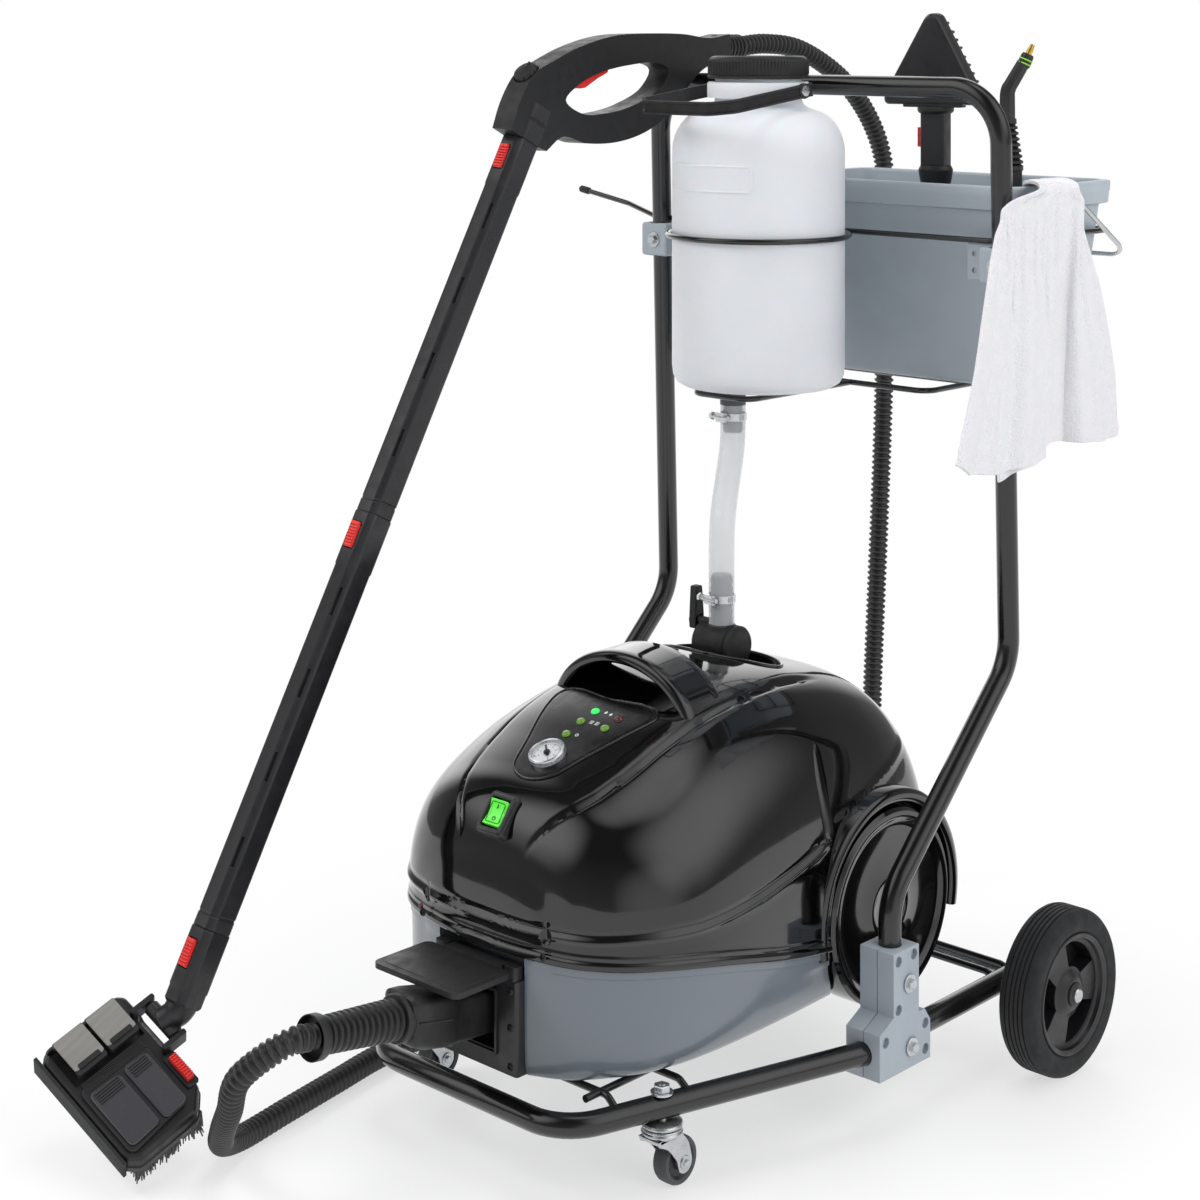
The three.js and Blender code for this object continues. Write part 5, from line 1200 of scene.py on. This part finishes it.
def wand_tube(name, node, top):
    def level(z, grow=1.0):
        return np.column_stack([WAND_OUTLINE * grow, np.full(len(WAND_OUTLINE), z)])

    low = top - WAND_SECTION + 0.3
    body = skin([level(low, 0.97), level(low + 0.8), level(low + 13), level(low + 14, 0.965), level(low + 16, 0.965),
                 level(low + 17), level(top - 64, 1), level(top - 62, 1.04), level(top - 1.5, 1.04), level(top, 1.0)])
    slots = [box((-7, 7), (-24, -13), (top - 44, top - 12))]
    for offset in (-0.22, -0.42, -0.62, -0.82):
        z = top + offset * WAND_SECTION
        slots.append(box((10.2, 14.5), (-21, -15.2), (z - 16, z + 16)))
    make(name, placed(body, WAND), "satin", node=node, cut=[placed(s, WAND) for s in slots], sharp=30)


def release(name, top):
    slab = [box((-6.3, 6.3), (-21.4, -15.8), (top - 42.6, top - 13.2))]
    slab += [box((-6.3, 6.3), (-24, -20), (z, z + 1.9)) for z in np.arange(top - 41, top - 16, 3.4)]
    slab.append(box((-6.3, 6.3), (-24, -17), (top - 16.5, top - 13.2)))
    make(name + "_button", placed(combine(*slab), WAND), "red", name, name, bevel=0.5, segments=2)


def wand():
    wand_tube("wand_tube_upper", "upper_wand", 0)
    wand_tube("wand_tube_lower", "lower_wand", -WAND_SECTION)
    for name, top in (("upper_release", 0), ("middle_release", -WAND_SECTION), ("lower_release", -2 * WAND_SECTION)):
        release(name, top)


def grip():
    outer = spline([(-378, 1066), (-361, 1106), (-337, 1137), (-304, 1152), (-260, 1168), (-200, 1181), (-134, 1184),
                    (-70, 1183), (-20, 1178), (20, 1183)], 90).tolist()
    outer += spline([(24, 1150), (-28, 1140), (-60, 1118), (-88, 1090), (-135, 1064), (-190, 1051), (-250, 1051),
                     (-290, 1060), (-318, 1044)], 80).tolist()
    opening = spline([(-285, 1104), (-262, 1122), (-225, 1136), (-171, 1145), (-122, 1147), (-99, 1138), (-116, 1115),
                      (-162, 1096), (-208, 1087), (-256, 1087)], 90, closed=True)
    loop = standing(outer, WAND_TOP.x - 17, WAND_TOP.x + 17)
    hole = standing(opening, WAND_TOP.x - 40, WAND_TOP.x + 40)
    room = standing([(-262, 1108), (-193, 1128), (-193, 1156), (-206, 1158), (-262, 1150)], WAND_TOP.x - 6.5, WAND_TOP.x + 6.5)
    below = placed(box((-40, 40), (-60, 60), (-60, 0.3)), WAND)
    knob_room = placed(bar((0, 0, -1), (0, 0, 30), 16.5, 40),
                       Matrix.Translation((WAND_TOP.x, -332, 1133)) @ Matrix.Rotation(math.radians(39), 4, "X"))
    make("grip_loop", loop, "plastic", node="wand_grip", cut=[hole, room, below, knob_room], bevel=9, segments=5, sharp=48)
    socket = np.array([np.column_stack([WAND_OUTLINE * g, np.full(len(WAND_OUTLINE), z)])
                       for z, g in ((0.4, 1), (1.6, 1.06), (24, 1.08), (25, 1.02), (27, 1.02), (28, 1.07), (46, 1.0))])
    make("grip_socket", placed(skin(list(socket)), WAND), "plastic", sharp=30)
    sleeve = [(0, 0), (16, 0), (17, 2), (17, 16)]
    for k in range(5):
        sleeve += [(15, 18 + 7 * k), (16.8, 19 + 7 * k), (16.6, 22 + 7 * k), (15, 23 + 7 * k)]
    make("grip_sleeve", aim(lathe(sleeve + [(0, 52)], 40), (-200, 5, 1165), (0, 1, 0.02)), "plastic")
    trigger = [(-256, 1118), (-246, 1117), (-238, 1118), (-216, 1129), (-198, 1136), (-198, 1150), (-206, 1152), (-256, 1132)]
    make("trigger_blade", standing(trigger, -205.5, -194.5), "red", "grip_trigger", "grip_trigger", bevel=1.5)
    rows = []
    for r, z in ((0, 0), (13, 0), (14.6, 1), (15, 2.4), (15, 8.6), (14, 10.4), (12, 11.6), (6, 12), (0, 12)):
        flute = 1 - 0.05 * np.maximum(0, np.cos(np.linspace(0, 2 * math.pi * 12, 144, endpoint=False))) * (2 < z < 9.5)
        rows.append(np.column_stack([circle(r, 144) * flute[:, None], np.full(144, z)]))
    pointer = box((-1, 1), (2, 12.6), (11.6, 13))
    turn = Matrix.Translation((WAND_TOP.x, -332, 1133)) @ Matrix.Rotation(math.radians(39), 4, "X")
    make("knob_cap", placed(combine(skin(rows), pointer), turn), "soft", "steam_knob", "steam_knob")


# ---- Floor brush ----
def head_matrix():
    """The head's own frame: +Z out of its top, +Y towards the wand."""
    turn = [Matrix.Rotation(math.radians(angle), 4, axis) for angle, axis in ((25, "X"), (30, "Y"), (-5, "Z"))]
    return Matrix.Translation((-258, -867, 97)) @ turn[0] @ turn[1] @ turn[2]


HEAD = head_matrix()


def brush_neck():
    foot = -2 * WAND_SECTION
    elbow = WAND @ Vector((0, 0, foot - 86))
    joint = HEAD @ Vector((-20, HEAD_D / 2 + 8, 4))
    upper = skin([np.column_stack([WAND_OUTLINE * g, np.full(len(WAND_OUTLINE), z)]) for z, g in (
        (foot - 80, 0.9), (foot - 77, 1), (foot - 64, 1), (foot - 62, 1.04), (foot - 1.5, 1.04), (foot - 0.3, 1.0))])
    slot = box((-7, 7), (-24, -13), (foot - 44, foot - 12))
    make("neck_tube", placed(upper, WAND), "satin", node="brush_neck", cut=[placed(slot, WAND)], sharp=30)
    path = rounded([WAND @ Vector((0, 0, foot - 60)), elbow, joint], 30, 6)
    size = np.interp(np.linspace(0, 1, len(path)), (0, 0.6, 1), (17.5, 16.5, 14))
    shape = sweep(path, circle(1, 32), scale=size)
    barrel = placed(bar((-42, 64, 4), (2, 64, 4), 8.5, 32), HEAD)
    make("neck_elbow", combine(shape, barrel), "satin", sharp=40)


def brush_head():
    w, d = HEAD_W / 2, HEAD_D / 2

    def on_head(shape):
        return placed(shape, HEAD)

    outline = [(-w, 12 - d), (12 - w, -d), (w - 12, -d), (w, 12 - d), (w, d - 26), (w - 22, d - 6), (6, d - 1), (-w + 8, d - 1),
               (-w, d - 9)]
    outline = np.array(rounded([(x, y, 0) for x, y in outline[-1:] + outline + outline[:1]], 10, 15))[1:-1, :2]

    def level(z, grow):
        return np.column_stack([outline * grow, np.full(len(outline), z)])

    slab = skin([level(-24, 0.985), level(-23.4, 1), level(-16, 1), level(-15, 0.985), level(-6, 0.975), level(-2, 0.95),
                 level(0, 0.92)])
    room = bar((-44, d + 8, 4), (4, d + 8, 4), 19, 40)
    pockets = box((-w + 8, -24), (-d + 10, d - 14), (-7, 6))
    make("brush_slab", on_head(slab), "plastic", "brush_head", "brush_body", cut=[on_head(room), on_head(pockets)], bevel=1.5,
         segments=3, sharp=30)
    deck = prism(rounded_flat([(-18, 8 - d), (w - 10, 8 - d), (w - 16, d - 28), (-10, d - 20)], 8), -1, 4.4)
    make("brush_deck", on_head(deck), "plastic", "brush_head", bevel=2, segments=3)
    panels = []
    for y0, y1 in ((-d + 12, -6), (-1, d - 27)):
        panels.append(prism(rounded_flat([(-6, y0), (w - 15, y0), (w - 17, y1), (-4, y1)], 6), 4, 7.6))
    make("brush_panels", on_head(combine(*panels)), "slate", "brush_head", bevel=1.8, segments=3)
    ribs = [box((x, x + 1.3), (y0 + 4, y1 - 4), (7, 9)) for y0, y1 in ((-d + 12, -6), (-1, d - 27)) for x in
            np.arange(-2, 12, 3)]
    ribs += [box((x, x + 0.9), (-d + 14, d - 24), (2, 5.6)) for x in np.arange(-20, -8, 2)]
    make("brush_ribs", on_head(combine(*ribs)), "plastic", "brush_head")
    ears = [soft_box((x0, x1), (d - 14, d + 16), (-6, 12), 2) for x0, x1 in ((-50, -44), (4, 10))]
    make("brush_ears", on_head(combine(*ears, bar((-47, d + 8, 4), (7, d + 8, 4), 3.4))), "plastic", "brush_head", bevel=1.5)
    blade = box((-w + 2, w - 10), (-d - 3, -d + 1), (-30, -3))
    make("brush_squeegee", on_head(blade), "tyre", "brush_head", bevel=0.8, segments=2)
    slider = [box((18, 50), (d - 15, d - 7), (2, 8))] + [box((x, x + 1.6), (d - 15, d - 6), (7, 10)) for x in np.arange(18.5, 49, 3.4)]
    make("brush_slider", on_head(combine(*slider)), "red", "brush_head", bevel=0.4, segments=2)
    make("brush_bed", on_head(soft_box((12, 56), (d - 19, d - 4), (-2, 2.6), 3)), "plastic", "brush_head", bevel=1)
    bristles = []
    rng = np.random.default_rng(11)
    for x in np.arange(13 - w, w - 9, 7.5):
        for y in np.arange(18 - d, d - 14, 7.5):
            lean = rng.uniform(-0.14, 0.14, 2)
            for a in range(12):
                root = np.array((x, y)) + 2.5 * np.array((math.cos(a * 2.4), math.sin(a * 2.4))) * math.sqrt(a / 12)
                splay = lean + (root - (x, y)) * 0.05 + rng.uniform(-0.04, 0.04, 2)
                length = rng.uniform(26, 34)
                path = [(*(root + splay * length * t), -22 - length * t) for t in (0, 0.5, 1)]
                bristles.append(tube(path, 1.35, 4, scale=(1, 1, 0.7)))
    make("brush_filaments", on_head(combine(*bristles)), "bristle", "brush_head", "brush_bristles", sharp=60)


def rounded_flat(corners, radius):
    loop = [(x, y, 0) for x, y in corners]
    start = [(a + b) / 2 for a, b in zip(loop[0], loop[-1])]
    return np.array(rounded([start] + loop + [start], radius, 15))[:-1, :2]


def brush_clips():
    w, d = HEAD_W / 2, HEAD_D / 2
    for side, y0, y1 in (("front", 16 - d, -3), ("rear", 1, d - 18)):
        body = f"{side}_clip"
        jaw = prism(rounded_flat([(10 - w, y0), (-32, y0), (-32, y1), (10 - w, y1)], 3), 10.4, 13)
        make(f"{side}_clip_plate", placed(jaw, HEAD), "clip", body, body, bevel=0.6, segments=2)
        edge = [soft_box((-35, -26), (y0, y1), (5, 12.4), 3), soft_box((-37, -31), (y0 + 5, y1 - 5), (11, 14.4), 2),
                box((9 - w, 13 - w), (y0, y1), (2, 12)), box((12 - w, -34), (y0 + 1, y1 - 1), (8.6, 10.6))]
        make(f"{side}_clip_edge", placed(combine(*edge), HEAD), "plastic", body, bevel=0.8, segments=2)
        middle = (y0 + y1) / 2
        coil = [(-41 + 3.6 * math.cos(a), middle + 3.6 * math.sin(a), -7 + a * 16.5 / 25) for a in np.arange(0, 25, 0.35)]
        make(f"{side}_clip_spring", placed(tube(coil, 0.6, 8), HEAD), "zinc", "brush_head")


# ---- Towel ----
def towel_sheet(columns=130, rows=130):
    """The towel from its end inside the bucket, over the rim and down: the gathered top fans out in folds."""
    points = np.zeros((rows, columns, 3))
    u = np.linspace(0, 1, columns)
    for i, v in enumerate(np.linspace(0, 1, rows)):
        fall = max(0, (v - 0.2) / 0.8)
        over = np.clip((v - 0.1) / 0.1, 0, 1)
        angle = math.pi * (1 - over)
        x = 263 + 27 * math.cos(angle) + 10 * ease(fall * 1.5)
        z = 940 + 62 * min(1, v / 0.1) + 9 * math.sin(angle) - 310 * fall
        near = np.interp(v, (0.1, 0.2, 0.22, 0.25, 0.3, 0.38, 0.57, 0.77, 1), (60, 0, -56, -84, -98, -112, -142, -170, -205))
        far = np.interp(v, (0.1, 0.2, 0.25, 0.5, 0.8, 1), (112, 88, 104, 142, 168, 174))
        fold = 15 * (0.5 + 0.5 * np.sin(2 * math.pi * (2.4 * u + 0.08) + 0.6 * fall)) ** 1.4
        fold += 3.4 * np.sin(2 * math.pi * (5.2 * u + 0.35) - 1.3 * fall) + 1.2 * np.sin(2 * math.pi * 10.3 * u + 1.9 * fall)
        hem = 1.6 * math.exp(-((fall - 0.968) / 0.012) ** 2)
        drop = np.interp(u, (0, 0.1, 0.3, 0.46, 0.6, 0.9, 1), (26, 8, -4, 4, 18, 10, 14)) * fall ** 2
        points[i] = np.column_stack([x + fold * (0.25 + 0.2 * over + 0.65 * fall) + hem, near + (far - near) * u, z + drop])
    return points


def towel_tail(columns=50, rows=60):
    """The other end of the towel, which hangs a little lower between the front fall and the leg."""
    u = np.linspace(0, 1, columns)
    rows = [np.column_stack([287 + 2.4 * np.sin(2 * math.pi * (1.6 * u + 0.2)) + 5 * t, -78 + 104 * u,
                             np.full(columns, 884 - 206 * t) + 14 * u * t]) for t in np.linspace(0, 1, rows)]
    return np.array(rows)


def cloth(name, grid):
    count, length = grid.shape[:2]
    faces = [[r * length + c, r * length + c + 1, (r + 1) * length + c + 1, (r + 1) * length + c]
             for r in range(count - 1) for c in range(length - 1)]
    sheet = bpy.data.objects.new(name, to_mesh(name, (grid.reshape(-1, 3), faces)))
    bpy.context.scene.collection.objects.link(sheet)
    return sheet


def finish_cloth(sheet):
    thick = sheet.modifiers.new("thickness", "SOLIDIFY")
    thick.thickness = 0.0042
    thick.offset = 0
    smooth = sheet.modifiers.new("smooth", "SUBSURF")
    smooth.levels = smooth.render_levels = 1
    sheet.data.shade_smooth()
    sheet.data.materials.append(LOOKS["towel"])
    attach(sheet, "trolley")


def towel():
    sheet = cloth("towel_cloth", towel_sheet())
    settle(sheet)
    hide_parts("towel")
    for piece in (sheet, cloth("towel_tail", towel_tail())):
        finish_cloth(piece)


def settle(sheet, frames=14, cap=0.012):
    """Lets the folds fall under gravity for a moment, with the gathered top pinned and moves capped."""
    rest = np.array([v.co for v in sheet.data.vertices])
    top = rest[:, 2] > HOME.z + 0.985
    pin = sheet.vertex_groups.new(name="pin")
    pin.add([int(i) for i in np.nonzero(top)[0]], 1.0, "REPLACE")
    cloth = sheet.modifiers.new("cloth", "CLOTH")
    cloth.settings.quality = 6
    cloth.settings.mass = 0.4
    cloth.settings.tension_stiffness = 25
    cloth.settings.bending_stiffness = 2.5
    cloth.settings.vertex_group_mass = "pin"
    cloth.collision_settings.use_collision = False
    scene = bpy.context.scene
    for number in range(1, frames + 1):
        scene.frame_set(number)
    moved = bpy.data.meshes.new_from_object(sheet.evaluated_get(bpy.context.evaluated_depsgraph_get()))
    sheet.modifiers.remove(cloth)
    scene.frame_set(1)
    shift = np.array([v.co for v in moved.vertices]) - rest
    size = np.linalg.norm(shift, axis=1, keepdims=True)
    shift *= np.minimum(1, cap / np.maximum(size, 1e-9))
    sheet.data.vertices.foreach_set("co", (rest + shift).astype(np.float32).ravel())
    sheet.data.update()
    bpy.data.meshes.remove(moved)


# ---- Carried-over CAD nodes ----
def inner_parts():
    """The boiler and the pump stay as CAD made them, in metal and plastic finishes."""
    for node, finish in (("boiler", "stainless"), ("water_pump", "plastic")):
        obj = frame["nodes"][node]
        obj.data.materials.clear()
        obj.data.materials.append(LOOKS[finish])


# ---- Studio ----
def floor():
    mesh = bpy.data.meshes.new("floor")
    ring = circle(40, 96)
    mesh.from_pydata([(x, y, 0) for x, y in ring], [], [list(range(96))])
    material = bpy.data.materials.new("floor")
    material.use_nodes = True
    tree = material.node_tree
    shader = tree.nodes["Principled BSDF"]
    shader.inputs["Base Color"].default_value = (0.9, 0.9, 0.905, 1)
    shader.inputs["Roughness"].default_value = 0.7
    place = tree.nodes.new("ShaderNodeTexCoord")
    length = tree.nodes.new("ShaderNodeVectorMath")
    length.operation = "LENGTH"
    fade = tree.nodes.new("ShaderNodeMapRange")
    for key, value in (("From Min", 0.4), ("From Max", 1.6), ("To Min", 0.6)):
        fade.inputs[key].default_value = value
    glow = tree.nodes.new("ShaderNodeEmission")
    mix = tree.nodes.new("ShaderNodeMixShader")
    link = tree.links.new
    link(place.outputs["Object"], length.inputs[0])
    link(length.outputs["Value"], fade.inputs["Value"])
    link(fade.outputs["Result"], mix.inputs[0])
    link(shader.outputs[0], mix.inputs[1])
    link(glow.outputs[0], mix.inputs[2])
    link(mix.outputs[0], tree.nodes["Material Output"].inputs["Surface"])
    mesh.materials.append(material)
    obj = bpy.data.objects.new("floor", mesh)
    bpy.context.scene.collection.objects.link(obj)


# Soft bright patches of the surroundings: direction, cosine where each begins, and strength.
PATCHES = (((-0.45, -0.6, 0.66), 0.8, 1.5), ((0.72, 0.25, 0.62), 0.76, 1.3), ((0.95, -0.3, 0.1), 0.85, 0.6),
           ((-0.7, 0.6, 0.35), 0.8, 1.5), ((0.05, 0.15, 1), 0.93, 1.2))


def world():
    """White to the camera, and a dim sky with soft bright patches to everything else."""
    made = bpy.data.worlds.new("studio")
    bpy.context.scene.world = made
    made.use_nodes = True
    tree = made.node_tree
    link = tree.links.new
    place = tree.nodes.new("ShaderNodeTexCoord")
    parts = tree.nodes.new("ShaderNodeSeparateXYZ")
    link(place.outputs["Generated"], parts.inputs[0])
    sky = tree.nodes.new("ShaderNodeMapRange")
    link(parts.outputs["Z"], sky.inputs["Value"])
    for key, value in (("From Min", 0.0), ("From Max", 0.7), ("To Min", 0.3), ("To Max", 0.1)):
        sky.inputs[key].default_value = value
    ray = tree.nodes.new("ShaderNodeLightPath")
    mix = tree.nodes.new("ShaderNodeMix")
    link(ray.outputs["Is Camera Ray"], mix.inputs[0])
    total = sky.outputs["Result"]
    for direction, start, strength in PATCHES:
        dot = tree.nodes.new("ShaderNodeVectorMath")
        dot.operation = "DOT_PRODUCT"
        dot.inputs[1].default_value = Vector(direction).normalized()
        link(place.outputs["Generated"], dot.inputs[0])
        patch = tree.nodes.new("ShaderNodeMapRange")
        patch.interpolation_type = "SMOOTHSTEP"
        link(dot.outputs["Value"], patch.inputs["Value"])
        for key, value in (("From Min", start), ("From Max", 1.0), ("To Max", strength)):
            patch.inputs[key].default_value = value
        add = tree.nodes.new("ShaderNodeMath")
        link(total, add.inputs[0])
        link(patch.outputs["Result"], add.inputs[1])
        total = add.outputs[0]
    link(total, mix.inputs[2])
    mix.inputs[3].default_value = 1.0
    link(mix.outputs[0], tree.nodes["Background"].inputs["Strength"])
    tree.nodes["Background"].inputs["Color"].default_value = (1, 1, 1, 1)


def softbox(name, at, target, size, power):
    lamp = bpy.data.lights.new(name, "AREA")
    lamp.shape = "RECTANGLE"
    lamp.size, lamp.size_y = size
    lamp.energy = power
    obj = bpy.data.objects.new(name, lamp)
    bpy.context.scene.collection.objects.link(obj)
    obj.location = HOME + Vector(at)
    obj.rotation_euler = (Vector(target) - Vector(at)).to_track_quat("-Z", "Y").to_euler()
    obj.visible_glossy = False


def camera():
    """A camera held level, with its lens shifted down. Moved elsewhere, it looks straight ahead with no shift."""
    data = bpy.data.cameras.new("camera")
    data.lens = 71.22
    data.sensor_width = 36
    data.shift_y = LENS_SHIFT
    data.clip_end = 100
    obj = bpy.data.objects.new("camera", data)
    bpy.context.scene.collection.objects.link(obj)
    place = HOME + Vector((1.802, -2.332, 1.189))
    right, up, back = Vector((0.7278, 0.6858, 0)), Vector((0, 0, 1)), Vector((0.6858, -0.7278, 0))
    obj.matrix_world = Matrix.Translation(place) @ Matrix((right, up, back)).transposed().to_4x4()
    driver = data.driver_add("shift_y").driver
    driver.type = "SCRIPTED"
    for name, transform in (("across", "LOC_X"), ("height", "LOC_Z")):
        variable = driver.variables.new()
        variable.name = name
        variable.type = "TRANSFORMS"
        variable.targets[0].id = obj
        variable.targets[0].transform_type = transform
    off = f"abs(across - {place.x:.4f}) + abs(height - {place.z:.4f})"
    driver.expression = f"{LENS_SHIFT} if {off} < 0.01 else 0.0"
    bpy.context.scene.camera = obj


def studio():
    floor()
    world()
    softbox("key", (-1.6, -2.4, 2.6), (0, -0.3, 0.5), (1.6, 1.0), 36)
    softbox("fill", (2.6, -0.6, 1.8), (0, -0.2, 0.5), (1.0, 1.8), 21)
    softbox("top", (0.2, -0.2, 2.9), (0, -0.3, 0.4), (1.6, 0.7), 14)
    softbox("back", (-0.6, 2.4, 2.2), (0, 0, 0.6), (2.0, 1.2), 26)
    camera()
    bpy.context.scene.view_settings.view_transform = "Standard"


# ---- Assembly ----
trolley()
brackets()
for side_name, side_sign in SIDES:
    rear_wheel(side_name, side_sign)
    castor(side_name, side_sign)
holder()
holder_clamps()
bottle()
bottle_cap()
bottle_bail()
feed_line()
feed_valve()
bucket()
triangle_tool()
detail_nozzle()
casing()
casing_fittings()
tub()
body_wheels()
carry_handle()
control_panel()
dash()
outlet()
plug()
steam_hose()
wand()
grip()
brush_neck()
brush_head()
brush_clips()
towel()
inner_parts()
studio()
